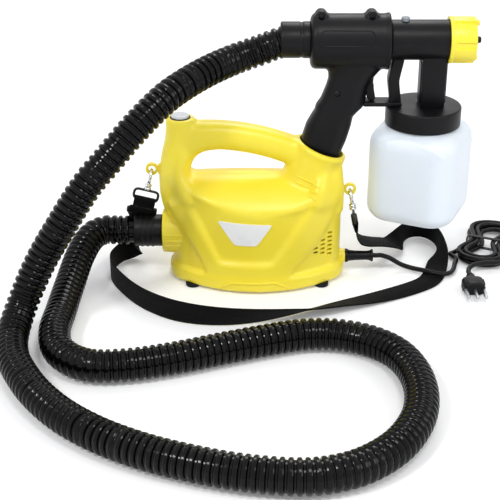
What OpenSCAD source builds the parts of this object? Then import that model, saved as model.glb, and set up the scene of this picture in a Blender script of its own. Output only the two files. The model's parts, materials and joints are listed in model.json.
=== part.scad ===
// Turbine paint sprayer: a floor blower that carries its spray gun in a holster,
// with a ribbed air hose, a mains lead tied in a hank and a shoulder strap.
// Millimetres, +Z up. The origin is the middle of the base on the floor,
// +X points to the gun's side and -Y to the front.

/* [Housing] */
// Length of the base
base_l = 198; // [190:1:206]
// Depth of the base
base_w = 120; // [116:1:128]
// Radius of the base's round ends in plan
base_end_r = 38; // [34:1:42]
// Height of the plinth above the floor
plinth_top = 18; // [14:1:22]
// How far the belly is set in from the plinth
belly_step = 4; // [2:0.5:6]
// Height of the top of the belly
belly_top = 120; // [116:1:124]
// Radius of the belly's domed top seen from the side
dome_r = 65; // [62:1:80]
// Wall thickness of the housing
housing_wall = 3; // [2:0.5:4]
// Height of the rubber feet
foot_h = 3; // [2:0.5:5]
// Diameter of the rubber feet
foot_d = 16; // [12:1:20]
// Distance between the feet along X
foot_gap_x = 144; // [120:2:150]
// Distance between the feet along Y
foot_gap_y = 68; // [56:2:72]

/* [Carrying handle and columns] */
// Height of the highest point of the handle
handle_top = 185; // [178:1:192]
// Thickness of the handle
handle_t = 35; // [30:1:38]
// Depth of the handle
handle_depth = 30; // [26:1:36]
// Radius of the handle's arc along its middle
handle_r = 240; // [220:5:260]
// X of the handle's highest point
handle_x = -54; // [-60:1:-48]
// Middle of the left column along X
column_x = -89; // [-92:1:-86]
// Width of the left column
column_w = 34; // [30:1:38]
// Depth of both columns
column_depth = 48; // [42:1:54]
// Diameter of the switch stub
stub_d = 32; // [30:1:36]
// X of the switch stub
stub_x = -83.5; // [-88:0.5:-80]
// Height of the top of the switch stub
stub_top = 186; // [180:1:196]

/* [Holster] */
// Lean of the holster and of the gun's grip from the vertical, in degrees
holster_tilt = 22; // [20:0.5:24]
// X of the middle of the holster's rim
rim_x = 70; // [68:0.5:72]
// Height of the middle of the holster's rim
rim_z = 154; // [151:1:157]
// Outer diameter of the holster
holster_d = 57; // [56:1:60]
// Bore of the holster
holster_bore = 51; // [50:0.5:52]
// Depth of the holster's bore
holster_depth = 44; // [38:1:46]

/* [Blower] */
// Height of the motor's shaft and of the hose outlet
axis_z = 52; // [51:0.5:54]
// Diameter of the motor can
motor_d = 70; // [64:1:74]
// Length of the motor can
motor_l = 60; // [54:1:64]
// X of the motor's fan end
motor_x = 22; // [18:1:24]
// Diameter of the shaft
shaft_d = 8; // [6:0.5:10]
// Outer diameter of the fan shroud
shroud_d = 84; // [82:1:85]
// Diameter of the impeller
impeller_d = 74; // [68:1:76]
// Number of impeller blades
blade_count = 9; // [7:1:12]

/* [Hose] */
// Outer diameter of the hose over its ribs
hose_d = 33; // [30:0.5:33]
// Bore of the hose
hose_bore = 23; // [20:0.5:24]
// Depth of the grooves between the ribs
rib_depth = 2.4; // [1.5:0.1:3]
// Distance between ribs
rib_pitch = 9.4; // [9:0.1:12]
// Diameter of the cuff at the blower
cuff_d = 36; // [35:0.5:38]
// Diameter of the cuff at the gun
gun_cuff_d = 38; // [36:0.5:40]
// Length of both cuffs
cuff_l = 31; // [26:1:31]

/* [Gun] */
// Height of the barrel's axis
gun_z = 273; // [271:1:275]
// X of the rear of the gun's body
gun_x = 55; // [53:1:57]
// Length of the gun's body
gun_l = 84; // [80:1:86]
// Diameter of the gun's body
gun_d = 52; // [50:1:54]
// Wall thickness of the gun's shell
gun_wall = 3; // [2.5:0.5:3.5]
// Size of the grip from front to back
grip_l = 44; // [40:1:46]
// Width of the grip
grip_w = 36; // [32:1:38]
// Diameter of the front barrel
barrel_d = 42; // [40:1:43]
// Length of the front barrel
barrel_l = 64; // [60:1:68]
// Diameter of the air cap
cap_d = 49; // [47:1:52]
// Width of the trigger
trigger_w = 11; // [9:0.5:12]
// Diameter of the needle
needle_d = 4; // [3:0.5:4.5]

/* [Cup] */
// Width of the cup
cup_w = 100; // [94:1:104]
// Corner radius of the cup
cup_r = 28; // [24:1:32]
// Height of the cup's bottom above the floor
cup_z = 74; // [72:1:80]
// Turn of the cup on its thread, in degrees
cup_turn = -24; // [-40:1:0]
// Wall thickness of the cup
cup_wall = 2.4; // [1.8:0.2:3]
// Diameter of the lid
lid_d = 81; // [80:1:86]
// Height of the lid
lid_h = 21; // [20:1:24]
// Side of the square feed column
feed_w = 26; // [22:1:28]

/* [Mains lead and strap] */
// Diameter of the mains lead
lead_d = 5.5; // [5:0.5:6]
// Number of loops in the hank
hank_loops = 6; // [4:1:6]
// Width of the strap's webbing
strap_w = 25; // [20:1:26]
// Thickness of the webbing
strap_t = 1.8; // [1.4:0.2:2.2]
// Wire diameter of the strap hooks
hook_wire = 4; // [3.5:0.5:4.5]
// Wire diameter of the strap rings
ring_wire = 3; // [2.5:0.5:3.5]

/* [Hidden] */
$fn = 48;

// Clearances: fixed seats, sliding seats, shaft fits
seat_gap = 0.2;
slide_gap = 0.3;
fit_gap = 0.03;
face_gap = 0.05;
yellow = "#f2dc2e";
black = "#1c1c1e";
steel = "#c9ccd0";
far = 400;

// Plan and side shapes

// Oval of four arcs, l long and w deep, with end radius r: the radius of its long sides
function oval_side_r(l, w, r) = (pow(l / 2 - r, 2) + w * w / 4 - r * r) / (w - 2 * r);

// Half depth of the oval at a place along it, between the ends
function oval_half(l, w, r, x) = sqrt(pow(oval_side_r(l, w, r), 2) - x * x) - oval_side_r(l, w, r) + w / 2;

module oval(l, w, r) {
    c = l / 2 - r;
    b = w / 2;
    side_r = oval_side_r(l, w, r);
    meet_x = side_r * c / (side_r - r);
    for (s = [-1, 1]) translate([s * c, 0]) circle(r);
    intersection() {
        translate([0, side_r - b]) circle(side_r, $fn = 96);
        translate([0, b - side_r]) circle(side_r, $fn = 96);
        square([2 * meet_x, w + 2], center = true);
    }
}

// Rectangle with round corners
module rounded(w, h, r) {
    square([w - 2 * r, h], center = true);
    square([w, h - 2 * r], center = true);
    for (x = [-1, 1], y = [-1, 1]) translate([x * (w / 2 - r), y * (h / 2 - r)]) circle(r);
}

// Extrude a front view (x, z) along Y, from y0 to y1
module front_prism(y0, y1) {
    translate([0, y1, 0]) rotate([90, 0, 0]) linear_extrude(y1 - y0) children();
}

// Extrude a side view (y, z) along X, from x0 to x1
module side_prism(x0, x1) {
    translate([x0, 0, 0]) rotate([90, 0, 90]) linear_extrude(x1 - x0) children();
}

// Cylinder along X between two places
module rod_x(x0, x1, d, z, y = 0) {
    translate([x0, y, z]) rotate([0, 90, 0]) cylinder(h = x1 - x0, d = d);
}

// Cylinder along Y between two places
module rod_y(y0, y1, d, x, z) {
    translate([x, y0, z]) rotate([-90, 0, 0]) cylinder(h = y1 - y0, d = d);
}

// Tube along X
module tube_x(x0, x1, d, bore, z) {
    difference() {
        rod_x(x0, x1, d, z);
        rod_x(x0 - 1, x1 + 1, bore, z);
    }
}

// Place children in the holster's leaning frame, origin at the rim
module in_holster() {
    translate([rim_x, 0, rim_z]) rotate([0, holster_tilt, 0]) children();
}

// Keep the front half (side -1) or the rear half (side 1)
module half(side) {
    intersection() {
        children();
        translate([-far, side < 0 ? -far : 0, -far]) cube([2 * far, far, 2 * far]);
    }
}

// Housing

handle_z = handle_top - handle_r - handle_t / 2;
column_left_bottom = 80;
column_left_top = 166;
column_right_x = 74;
column_right_w = 44;
column_right_top = 128;
column_r = 15;
stub_bottom = 130;
collar_d = 48;
collar_x = -106;
collar_ribs = 5;
collar_rib_d = 3;
collar_rib_start = 170;
collar_rib_step = 16;
outlet_d = 34;
boss_d = 16;
boss_z = 20;
boss_x = base_l / 2 + 1;
relief_d = 12;
lug_left = [column_x - column_w / 2 - 10, 127];
lug_right = [max(base_l / 2, column_right_x + column_right_w / 2) + 4, 103];
lug_d = 16;
lug_hole = 8;
lug_t = 5;
arm_front = [[-106, 128], [-72, 124], [-71, 108], [-62, 89], [-38, 39], [15, 39], [54, 102], [60, 108], [92, 124],
    [94, 91], [86, 67], [60, 52], [40, 25], [-58, 25], [-86, 72], [-102, 90]];
dome_start = 31;
holster_l = 90;
collar_inner = -70;
socket_seat = -78;
boss_inner = boss_x - 20;
lug_l = 14;
handle_start = -8;
handle_end = 30;

// Side view of the belly, let out by grow
module belly_side(grow) {
    translate([0, belly_top - dome_r]) circle(dome_r + grow, $fn = 96);
    translate([-base_w, 0]) square([2 * base_w, belly_top - dome_r + dome_start + grow]);
}

// Outer form of the housing (inset 0) or its cavity (inset by the wall)
module housing_form(inset) {
    translate([0, 0, foot_h + inset]) linear_extrude(plinth_top - foot_h - 2 * inset)
        oval(base_l - 2 * inset, base_w - 2 * inset, base_end_r - inset);
    intersection() {
        translate([0, 0, foot_h + inset]) linear_extrude(belly_top)
            oval(base_l - 2 * belly_step - 2 * inset, base_w - 2 * belly_step - 2 * inset,
                base_end_r - belly_step - inset);
        side_prism(-base_l, base_l) belly_side(-inset);
    }
    translate([column_x, 0, column_left_bottom + inset])
        linear_extrude(column_left_top - column_left_bottom - 2 * inset)
        rounded(column_w - 2 * inset, column_depth - 2 * inset, column_r - inset);
    translate([column_right_x, 0, column_left_bottom + inset])
        linear_extrude(column_right_top - column_left_bottom - 2 * inset)
        rounded(column_right_w - 2 * inset, column_depth - 2 * inset, column_r - inset);
    translate([stub_x, 0, stub_bottom]) cylinder(h = stub_top - stub_bottom - inset, d = stub_d - 2 * inset);
    translate([handle_x, 0, handle_z]) rotate([90, 0, 0]) rotate([0, 0, 90 - handle_end])
        rotate_extrude(angle = handle_end - handle_start, $fn = 120) translate([handle_r, 0])
        rounded(handle_t - 2 * inset, handle_depth - 2 * inset, handle_depth / 2 - 4 - inset);
}

// Raised arms that run from the columns to the bottom band, front and back
module housing_arms() {
    intersection() {
        front_prism(-base_w, base_w) polygon(arm_front);
        translate([0, 0, foot_h]) linear_extrude(belly_top + 20) oval(base_l - 0.4, base_w - 0.4, base_end_r);
        side_prism(-base_l, base_l) belly_side(belly_step);
    }
}

module lug(place) {
    front_prism(-lug_t / 2, lug_t / 2) {
        translate(place) circle(d = lug_d);
        translate([place.x - (place.x < 0 ? 0 : lug_l), place.y - lug_d / 2]) square([lug_l, lug_d]);
    }
}

// Solid outside: form, arms, holster, outlet collar with its ridges, cable boss, strap lugs
module housing_outside() {
    housing_form(0);
    housing_arms();
    in_holster() translate([0, 0, -holster_l]) cylinder(h = holster_l, d = holster_d);
    rod_x(collar_x, collar_inner, collar_d, axis_z);
    for (k = [0:collar_ribs - 1]) let (a = collar_rib_start + k * collar_rib_step)
        rod_x(collar_x + 2, collar_inner - 10, collar_rib_d, axis_z + collar_d / 2 * sin(a), collar_d / 2 * cos(a));
    rod_x(boss_inner, boss_x, boss_d, boss_z);
    lug(lug_left);
    lug(lug_right);
}

screw_places = [[column_x, 112], [base_l / 2 - 15, 92], [17 - base_l / 2, 22], [base_l / 2 - 11, 46], [-20, handle_z + sqrt(handle_r * handle_r
    - pow(-20 - handle_x, 2))]];
screw_boss_d = 9;
screw_d = 3.2;
screw_head_d = 6.6;
screw_seat = 9;
screw_end = -11;
fan_rib_x = 34;
motor_rib_x = -32;
filter_rib_x = 54;
rib_t = 3;
filter_h = 68;
filter_t = 10;
filter_gap = 0.8;
belly_in = 2 * (belly_step + housing_wall);
filter_w = 2 * (oval_half(base_l - belly_in, base_w - belly_in, base_end_r - belly_in / 2,
    filter_rib_x + rib_t + filter_t) - filter_gap);

// What stands inside the cavity: holster cup, two motor ribs, filter frame, screw bosses
module housing_inside() {
    in_holster() translate([0, 0, -holster_depth - housing_wall])
        cylinder(h = holster_depth + housing_wall, d = holster_d);
    for (rib = [[fan_rib_x, shroud_d], [motor_rib_x, motor_d]]) difference() {
        translate([rib[0], -base_w / 2, 0]) cube([rib_t, base_w, belly_top]);
        rod_x(rib[0] - 1, rib[0] + rib_t + 1, rib[1] + 2 * seat_gap, axis_z);
    }
    difference() {
        translate([filter_rib_x, -base_w / 2, 0]) cube([rib_t, base_w, belly_top - 26]);
        translate([filter_rib_x - 1, -filter_w / 2 + 4, axis_z - filter_h / 2 + 4])
            cube([rib_t + 2, filter_w - 8, filter_h - 8]);
    }
    for (p = screw_places) rod_y(-base_w / 2, base_w / 2, screw_boss_d, p.x, p.y);
    rod_x(collar_x + 6, socket_seat, collar_d - 6, axis_z);
}

vent_columns = 3;
vent_rows = [2, 4, 6];
vent_w = 5;
vent_h = 2.4;
vent_start = base_l / 2 - 37;
vent_low = [39.8, 36.8, 33.8];
vent_step = [8, 5.2];
vent_reach = [18, 80];

module vents() {
    for (i = [0:vent_columns - 1], k = [0:vent_rows[i] - 1], s = [-1, 1])
        translate([vent_start + i * vent_step.x, s > 0 ? vent_reach[0] : -vent_reach[1],
            vent_low[i] + k * vent_step.y]) cube([vent_w, vent_reach[1] - vent_reach[0], vent_h]);
}

bezel_hole = 21;

// Everything that is cut from both halves
module housing_holes() {
    in_holster() translate([0, 0, -holster_depth]) cylinder(h = holster_depth + 20, d = holster_bore);
    rod_x(collar_x - 20, socket_seat + 18, outlet_d + 2 * seat_gap, axis_z);
    rod_x(boss_inner - 10, boss_x + 10, relief_d + 2 * seat_gap, boss_z);
    translate([stub_x, 0, stub_top - 10]) cylinder(h = 20, d = bezel_hole);
    for (p = [lug_left, lug_right]) rod_y(-lug_t, lug_t, lug_hole, p.x, p.y);
    for (p = screw_places) {
        rod_y(screw_end - 1, base_w / 2, screw_d + 2 * seat_gap, p.x, p.y);
        rod_y(screw_seat, base_w, screw_head_d + 2 * seat_gap, p.x, p.y);
    }
    for (x = [-1, 1], y = [-1, 1]) translate([x * foot_gap_x / 2, y * foot_gap_y / 2, 0])
        cylinder(h = foot_h + foot_sink, d = foot_d + 2 * seat_gap);
    vents();
}

foot_sink = 1.5;

module housing_shell() {
    difference() {
        housing_outside();
        difference() {
            housing_form(housing_wall);
            housing_inside();
        }
        housing_holes();
    }
}

module housing_front() {
    color(yellow) half(-1) housing_shell();
}

module housing_rear() {
    color(yellow) half(1) housing_shell();
}

module housing_screws() {
    color(steel) for (p = screw_places) {
        rod_y(screw_end, screw_seat + 1, screw_d, p.x, p.y);
        rod_y(screw_seat, screw_seat + 2.6, screw_head_d, p.x, p.y);
    }
}

module rubber_feet() {
    color(black) for (x = [-1, 1], y = [-1, 1]) translate([x * foot_gap_x / 2, y * foot_gap_y / 2, 0])
        cylinder(h = foot_h + foot_sink, d = foot_d);
}

plate_outline = [[-44, 86], [17, 82], [-3, 57], [-26, 58]];
plate_t = 0.8;
plate_gap = 0.1;

// Bare plate that follows the belly's front wall
module front_plate() {
    belly = [base_l - 2 * belly_step, base_w - 2 * belly_step, base_end_r - belly_step];
    color("white") intersection() {
        front_prism(-base_w, -base_w / 4) polygon(plate_outline);
        difference() {
            linear_extrude(belly_top) oval(belly.x + 2 * (plate_gap + plate_t),
                belly.y + 2 * (plate_gap + plate_t), belly.z + plate_gap + plate_t);
            translate([0, 0, -1]) linear_extrude(belly_top + 2)
                oval(belly.x + 2 * plate_gap, belly.y + 2 * plate_gap, belly.z + plate_gap);
        }
    }
}

// Switch

button_d = 18;
bezel_d = 26;
bezel_h = 3;
button_travel = 2.5;
switch_top = stub_top - housing_wall - 1;
switch_h = 26;

module switch_bezel() {
    color(black) translate([stub_x, 0, 0]) difference() {
        union() {
            translate([0, 0, stub_top]) cylinder(h = bezel_h, d = bezel_d);
            translate([0, 0, stub_top - housing_wall]) cylinder(h = housing_wall + 1, d = bezel_hole - 2 * seat_gap);
        }
        translate([0, 0, stub_top - 20]) cylinder(h = 40, d = button_d + 2 * slide_gap);
    }
}

module switch_button() {
    color("#dfe2e2") translate([stub_x, 0, switch_top + button_travel + slide_gap])
        cylinder(h = stub_top + bezel_h + 1.5 - switch_top - button_travel - slide_gap, d = button_d);
}

module switch_body() {
    flange_d = stub_d - 2 * housing_wall - 2 * seat_gap;
    color(black) translate([stub_x, 0, switch_top - switch_h]) {
        cylinder(h = switch_h, d = bezel_hole - 1);
        translate([0, 0, switch_h - 3]) difference() {
            cylinder(h = 4, d = flange_d);
            translate([0, 0, 3]) cylinder(h = 6, d = bezel_hole);
        }
    }
}

// Hose outlet and strain relief

socket_inner = -80;

module outlet_socket() {
    color(black) tube_x(collar_x + 0.5, socket_inner, outlet_d, hose_bore + 6, axis_z);
}

relief_end = boss_x + 32;
relief_start = boss_x - 10;

module strain_relief() {
    color(black) {
        rod_x(relief_start, relief_end - 3, relief_d, boss_z);
        rod_x(relief_end - 3, relief_end, relief_d + 3, boss_z);
        rod_x(boss_x + seat_gap, boss_x + 4, relief_d + 4, boss_z);
    }
}

// Motor and fan, all on the axis at axis_z

motor_end = motor_x - motor_l;
bearing_d = 22;
bearing_w = 7;
commutator_d = 20;
commutator_l = 10;
commutator_x = motor_end + bearing_w + 1;
stator_gap = 7;
stator_x = commutator_x + commutator_l + 2;
stator_l = motor_x - bearing_w - stator_gap - stator_x;
stator_bore = 42;
can_wall = 5;
can_hole_d = 9;
can_hole_r = 21;
plate_hole_d = 9;
plate_hole_r = 23;
plate_x = motor_x;
end_plate_t = 4;
shroud_wall = 2;
shroud_end = plate_x + 28;
impeller_x = plate_x + 9;
impeller_h = 13;
eye_d = 36;
shaft_end = impeller_x + impeller_h + 5;

module motor_can() {
    color("#8d9094") difference() {
        rod_x(motor_end, motor_x - seat_gap, motor_d, axis_z);
        rod_x(motor_end + bearing_w, motor_x + 1, motor_d - 2 * can_wall, axis_z);
        rod_x(motor_end - 1, motor_end + bearing_w + 1, bearing_d + 2 * fit_gap, axis_z);
        for (a = [45:90:315]) translate([0, 0, axis_z]) rotate([a, 0, 0])
            rod_x(motor_end - 1, motor_end + bearing_w + 1, can_hole_d, can_hole_r);
    }
}

module motor_end_plate() {
    color("#8d9094") difference() {
        union() {
            rod_x(plate_x, plate_x + end_plate_t, shroud_d - 2 * shroud_wall - 2 * seat_gap, axis_z);
            rod_x(plate_x - bearing_w, plate_x + 1, bearing_d + 8, axis_z);
        }
        rod_x(plate_x - bearing_w - 1, plate_x, bearing_d + 2 * fit_gap, axis_z);
        rod_x(plate_x - 1, plate_x + end_plate_t + 1, shaft_d + 4, axis_z);
        for (a = [0:60:300]) translate([0, 0, axis_z]) rotate([a, 0, 0])
            rod_x(plate_x - 1, plate_x + end_plate_t + 1, plate_hole_d, plate_hole_r);
    }
}

module stator_core() {
    color("#6f5a48") tube_x(stator_x, stator_x + stator_l, motor_d - 2 * can_wall - 2 * seat_gap, stator_bore, axis_z);
}

module motor_shaft() {
    color(steel) rod_x(motor_end - 2, shaft_end, shaft_d, axis_z);
}

module armature() {
    color("#a8683a") tube_x(stator_x, stator_x + stator_l, stator_bore - 1.2, shaft_d + 2 * fit_gap, axis_z);
}

module commutator() {
    color("#b87333") tube_x(commutator_x, commutator_x + commutator_l, commutator_d, shaft_d + 2 * fit_gap, axis_z);
}

module motor_bearings() {
    color(steel) for (x = [motor_end, plate_x - bearing_w])
        tube_x(x, x + bearing_w, bearing_d, shaft_d + 2 * fit_gap, axis_z);
}

brush = [5, 14, 6];
brush_start = commutator_d / 2 + slide_gap;
holder_wall = 1.4;
holder_start = brush_start + 3;
holder_end = sqrt(pow(motor_d / 2 - can_wall, 2) - pow(brush.z / 2 + holder_wall, 2)) - seat_gap;

module brush_holders() {
    color("#caa24a") for (s = [0, 180]) translate([commutator_x + commutator_l / 2, 0, axis_z]) rotate([0, 0, s])
        difference() {
            translate([-brush.x / 2 - holder_wall, holder_start, -brush.z / 2 - holder_wall])
                cube([brush.x + 2 * holder_wall, holder_end - holder_start, brush.z + 2 * holder_wall]);
            translate([-brush.x / 2 - seat_gap, holder_start - 1, -brush.z / 2 - seat_gap])
                cube([brush.x + 2 * seat_gap, holder_end - holder_start + 2, brush.z + 2 * seat_gap]);
        }
}

module carbon_brushes() {
    color("#333333") for (s = [0, 180]) translate([commutator_x + commutator_l / 2, 0, axis_z]) rotate([0, 0, s])
        translate([-brush.x / 2, brush_start, -brush.z / 2]) cube(brush);
}

module fan_shroud() {
    color(black) difference() {
        rod_x(plate_x, shroud_end, shroud_d, axis_z);
        rod_x(plate_x - 1, shroud_end - shroud_wall, shroud_d - 2 * shroud_wall, axis_z);
        rod_x(plate_x, shroud_end + 1, eye_d + 6, axis_z);
    }
}

module impeller() {
    disc = 2;
    color("#d8d8d8") difference() {
        union() {
            rod_x(impeller_x, impeller_x + disc, impeller_d, axis_z);
            rod_x(impeller_x, impeller_x + impeller_h, 16, axis_z);
            tube_x(impeller_x + impeller_h - disc, impeller_x + impeller_h, impeller_d, eye_d, axis_z);
            for (k = [0:blade_count - 1]) translate([impeller_x + 1, 0, axis_z]) rotate([k * 360 / blade_count, 0, 0])
                translate([0, -0.8, eye_d / 2 - 4]) cube([impeller_h - 2, 1.6, impeller_d / 2 - eye_d / 2 + 3]);
        }
        rod_x(impeller_x - 1, impeller_x + impeller_h + 1, shaft_d + 2 * fit_gap, axis_z);
    }
}

module fan_nut() {
    color(steel) difference() {
        translate([impeller_x + impeller_h, 0, axis_z]) rotate([0, 90, 0]) cylinder(h = 4, d = shaft_d + 7, $fn = 6);
        rod_x(impeller_x, shaft_end + 5, shaft_d + 2 * fit_gap, axis_z);
    }
}

module air_filter() {
    color("#3d4147") translate([filter_rib_x + rib_t, -filter_w / 2, axis_z - filter_h / 2])
        cube([filter_t, filter_w, filter_h]);
}

// Routes: points chosen by hand, joined by a smooth curve that passes through them

hose_points = [
    [24, 0, 273], [3, 0, 273], [-12, 0, 273], [-30, -9, 269.5], [-52, -29, 260], [-75, -51, 248], [-97, -71, 233],
    [-124, -92, 211], [-148, -108, 187], [-172, -120, 159], [-197, -129, 121], [-222, -137, 80], [-240, -152, 42],
    [-247, -180, 21], [-242, -212, 17], [-231, -240, 17], [-209, -279, 17], [-180, -315, 17], [-145, -345, 17],
    [-107, -368, 17], [-68, -385, 17], [-20, -400, 17], [27, -407, 17], [60, -404, 17], [92, -390, 17],
    [122, -362, 17], [143, -324, 17], [152, -284, 17], [150, -244, 17], [137, -209, 17], [112, -185, 17],
    [80, -173, 17], [45, -173, 17], [5, -185, 17], [-38, -201, 17], [-85, -219, 17], [-130, -231, 17],
    [-168, -230, 17], [-196, -206, 17], [-207, -168, 17], [-206, -124, 19], [-202, -80, 27], [-196, -40, 39],
    [-186, -12, 49], [-172, 0, 52], [-155, 0, 52], [-138, 0, 52]];

lead_points = [[relief_end, 0, boss_z], [relief_end + 5, 0, boss_z], [relief_end + 10, 0, boss_z], [152, 1, 16],
    [165, 2, 7.5], [178, -1, 4.2], [190, -10, 5.8], [201, -18, 6.6], [212, -19, 5.8], [220, -13, 4.6],
    [225, -3, 4.25], [228.3, 9, 4.25], [231.8, 22, 4.25]];

// Strap: each point has its place, then the direction of the webbing's width
strap_route = [
    [-129.6, 3, 74.4, 0.98, 0, -0.2], [-130.2, 10, 72.4, 1, 0, -0.1], [-130.6, 18, 66, 1, 0, 0],
    [-131, 22.6, 56, 1, 0, 0], [-131.3, 24.6, 45, 1, 0, 0.1], [-133, 26.5, 33, 0.93, 0, 0.36],
    [-138, 29, 22, 0.62, 0.1, 0.78], [-146, 29, 13.3, 0.2, 0, 0.98], [-156, 22, 13.4, 0, 0, 1],
    [-163, 8, 13.4, 0, 0, 1], [-166, -8, 13.4, 0, 0, 1], [-162, -30, 13.4, 0, 0, 1],
    [-149, -55, 13.4, 0, 0, 1], [-132, -80, 13.4, 0, 0, 1], [-112, -100, 13.4, 0, 0, 1],
    [-88, -116, 13.4, 0, 0, 1], [-60, -126, 13.4, 0, -0.12, 0.99], [-30, -129, 13.1, 0, -0.29, 0.96],
    [0, -126, 12.3, 0.05, -0.49, 0.87], [30, -117, 10.5, 0.19, -0.67, 0.72], [60, -104, 7.8, 0.29, -0.82, 0.49],
    [92, -88, 5.4, 0.4, -0.87, 0.29], [124, -72, 3, 0.45, -0.89, 0.1], [154, -56, 1.8, 0.48, -0.88, 0],
    [180, -40, 1.8, 0.55, -0.83, 0], [194, -27, 1.8, 0.66, -0.75, 0], [202, -11, 1.8, 0.82, -0.57, 0],
    [207, 5, 3.7, 0.96, -0.25, 0.15], [211.5, 21, 9.4, 0.78, 0, 0.62], [214.5, 39, 13, 0.31, 0.1, 0.94],
    [215, 58, 13.4, 0, 0, 1], [211, 76, 13.4, 0, 0, 1], [201, 87, 13.4, 0, 0, 1],
    [188, 87, 13.4, 0, 0, 1], [178, 77, 13.4, 0, 0, 1], [171, 63, 13.2, -0.25, 0.12, 0.96],
    [165, 51, 12.4, -0.62, 0.31, 0.72], [158.5, 40.5, 15.5, -0.78, 0.53, 0.33], [149, 31.5, 21, -0.5, 0.86, 0.08],
    [136.5, 23.5, 26, -0.33, 0.94, 0], [125, 14, 32, -0.2, 0.98, 0],
    [117.5, 6, 39, -0.1, 1, 0], [114, 1.5, 45.5, 0, 1, 0]];

// Point on the curve between p1 and p2, with p0 before and p3 after
function curve_point(p0, p1, p2, p3, t) = 0.5 * (2 * p1 + (p2 - p0) * t
    + (2 * p0 - 5 * p1 + 4 * p2 - p3) * t * t + (3 * p1 - p0 - 3 * p2 + p3) * t * t * t);
function at_index(list, i) = list[min(max(i, 0), len(list) - 1)];
function curve(points, steps) = [for (i = [0:len(points) - 2], k = [0:steps - 1])
    curve_point(at_index(points, i - 1), points[i], points[i + 1], at_index(points, i + 2), k / steps),
    points[len(points) - 1]];
function place(p) = [p.x, p.y, p.z];
function lengths(path) = [for (i = 0, s = 0; i < len(path);
    s = s + (i < len(path) - 1 ? norm(place(path[i + 1]) - place(path[i])) : 0), i = i + 1) s];
function column(path, sums, c) = [for (i = [0:len(path) - 1]) [sums[i], path[i][c]]];
function unit(v) = v / norm(v);

// Path resampled at the lengths in stops; each entry keeps all its columns
function resample(path, stops) = let (sums = lengths(path), n = len(path[0]),
    tables = [for (c = [0:n - 1]) column(path, sums, c)])
    [for (s = stops) [for (c = [0:n - 1]) lookup(s, tables[c])]];
function tangent(path, i) = unit(place(at_index(path, i + 1)) - place(at_index(path, i - 1)));

// One ring of a tube: radius r, n sides, square to the path
function ring(path, i, r, n) = let (t = tangent(path, i), side = unit(cross(t, [0, 0, 1])), up = cross(side, t))
    [for (k = [0:n - 1]) place(path[i]) + r * (cos(360 * (k + 0.5) / n) * side + sin(360 * (k + 0.5) / n) * up)];
function skin(rings, n, first) = [for (i = [0:rings - 2], k = [0:n - 1], h = [0, 1]) let (a = first + i * n + k,
    b = first + i * n + (k + 1) % n) h == 0 ? [a, b, b + n] : [a, b + n, a + n]];
function cap(n, first) = [for (k = [1:n - 2]) [first, first + k + 1, first + k]];
function flipped(faces) = [for (f = faces) [f[2], f[1], f[0]]];

// Solid tube along a path
module solid_tube(path, r, n) {
    m = len(path);
    points = [for (i = [0:m - 1]) each ring(path, i, r, n)];
    faces = concat(skin(m, n, 0), cap(n, 0), flipped(cap(n, (m - 1) * n)));
    polyhedron(points = points, faces = faces, convexity = 10);
}

// Hose: ribs outside, plain bore inside, straight plain ends

hose_sides = 8;
hose_path = curve(hose_points, 10);
hose_length = lengths(hose_path)[len(hose_path) - 1];
hose_end = 16;
rib_count = floor((hose_length - 2 * hose_end) / rib_pitch);
rib_start = (hose_length - rib_count * rib_pitch) / 2;
rib_stops = [0, for (k = [0:rib_count - 1], h = [0, 0.5]) rib_start + (k + h) * rib_pitch,
    rib_start + rib_count * rib_pitch, hose_length];
bore_count = 90;
bore_stops = [for (k = [0:bore_count]) hose_length * k / bore_count];
root_r = hose_d / 2 - rib_depth;
function rib_radius(i) = i == 0 || i >= len(rib_stops) - 2 || i % 2 == 1 ? root_r : hose_d / 2;

module hose() {
    outer = resample(hose_path, rib_stops);
    inner = resample(hose_path, bore_stops);
    n = hose_sides;
    a = len(outer);
    b = len(inner);
    points = concat([for (i = [0:a - 1]) each ring(outer, i, rib_radius(i), n)],
        [for (i = [0:b - 1]) each ring(inner, i, hose_bore / 2, n)]);
    first_end = [for (k = [0:n - 1], h = [0, 1]) let (o = k, p = (k + 1) % n) h == 0
        ? [o, a * n + o, a * n + p] : [o, a * n + p, p]];
    last_end = [for (k = [0:n - 1], h = [0, 1]) let (o = (a - 1) * n + k, p = (a - 1) * n + (k + 1) % n,
        q = (a + b - 1) * n + k, r = (a + b - 1) * n + (k + 1) % n) h == 0 ? [o, r, q] : [o, p, r]];
    faces = concat(skin(a, n, 0), flipped(skin(b, n, a * n)), first_end, last_end);
    color(black) polyhedron(points = points, faces = faces, convexity = 20);
}

hose_start = hose_points[0];
hose_last = hose_points[len(hose_points) - 1];

module hose_cuff_blower() {
    color(black) difference() {
        union() {
            rod_x(hose_last.x + face_gap, hose_last.x + cuff_l, cuff_d, axis_z);
            rod_x(hose_last.x + 1, collar_x + 20, hose_bore + 6 - 2 * seat_gap, axis_z);
            for (k = [0:2]) rod_x(hose_last.x + 8 + 6 * k, hose_last.x + 11 + 6 * k, cuff_d + 1.6, axis_z);
        }
        rod_x(hose_last.x - 1, collar_x + 30, hose_bore, axis_z);
    }
}

module hose_cuff_gun() {
    color(black) difference() {
        union() {
            rod_x(hose_start.x + face_gap, gun_x - seat_gap, gun_cuff_d, gun_z);
            rod_x(hose_start.x + 10, gun_x + gun_wall + 4, gun_inlet_d - 2 * seat_gap, gun_z);
            for (k = [0:2]) rod_x(hose_start.x + 4 + 8 * k, hose_start.x + 8 + 8 * k, gun_cuff_d + 2, gun_z);
        }
        rod_x(hose_start.x - 1, gun_x + 30, hose_bore, gun_z);
    }
}

// Mains lead, hank, tie and plug

plug_w = 24;
plug_t = 15;
plug_l = 34;
pin_d = 4;
pin_l = 19;
pin_pitch = 9.5;
pin_root_d = 3.2;
pin_root_l = 8;

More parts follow.
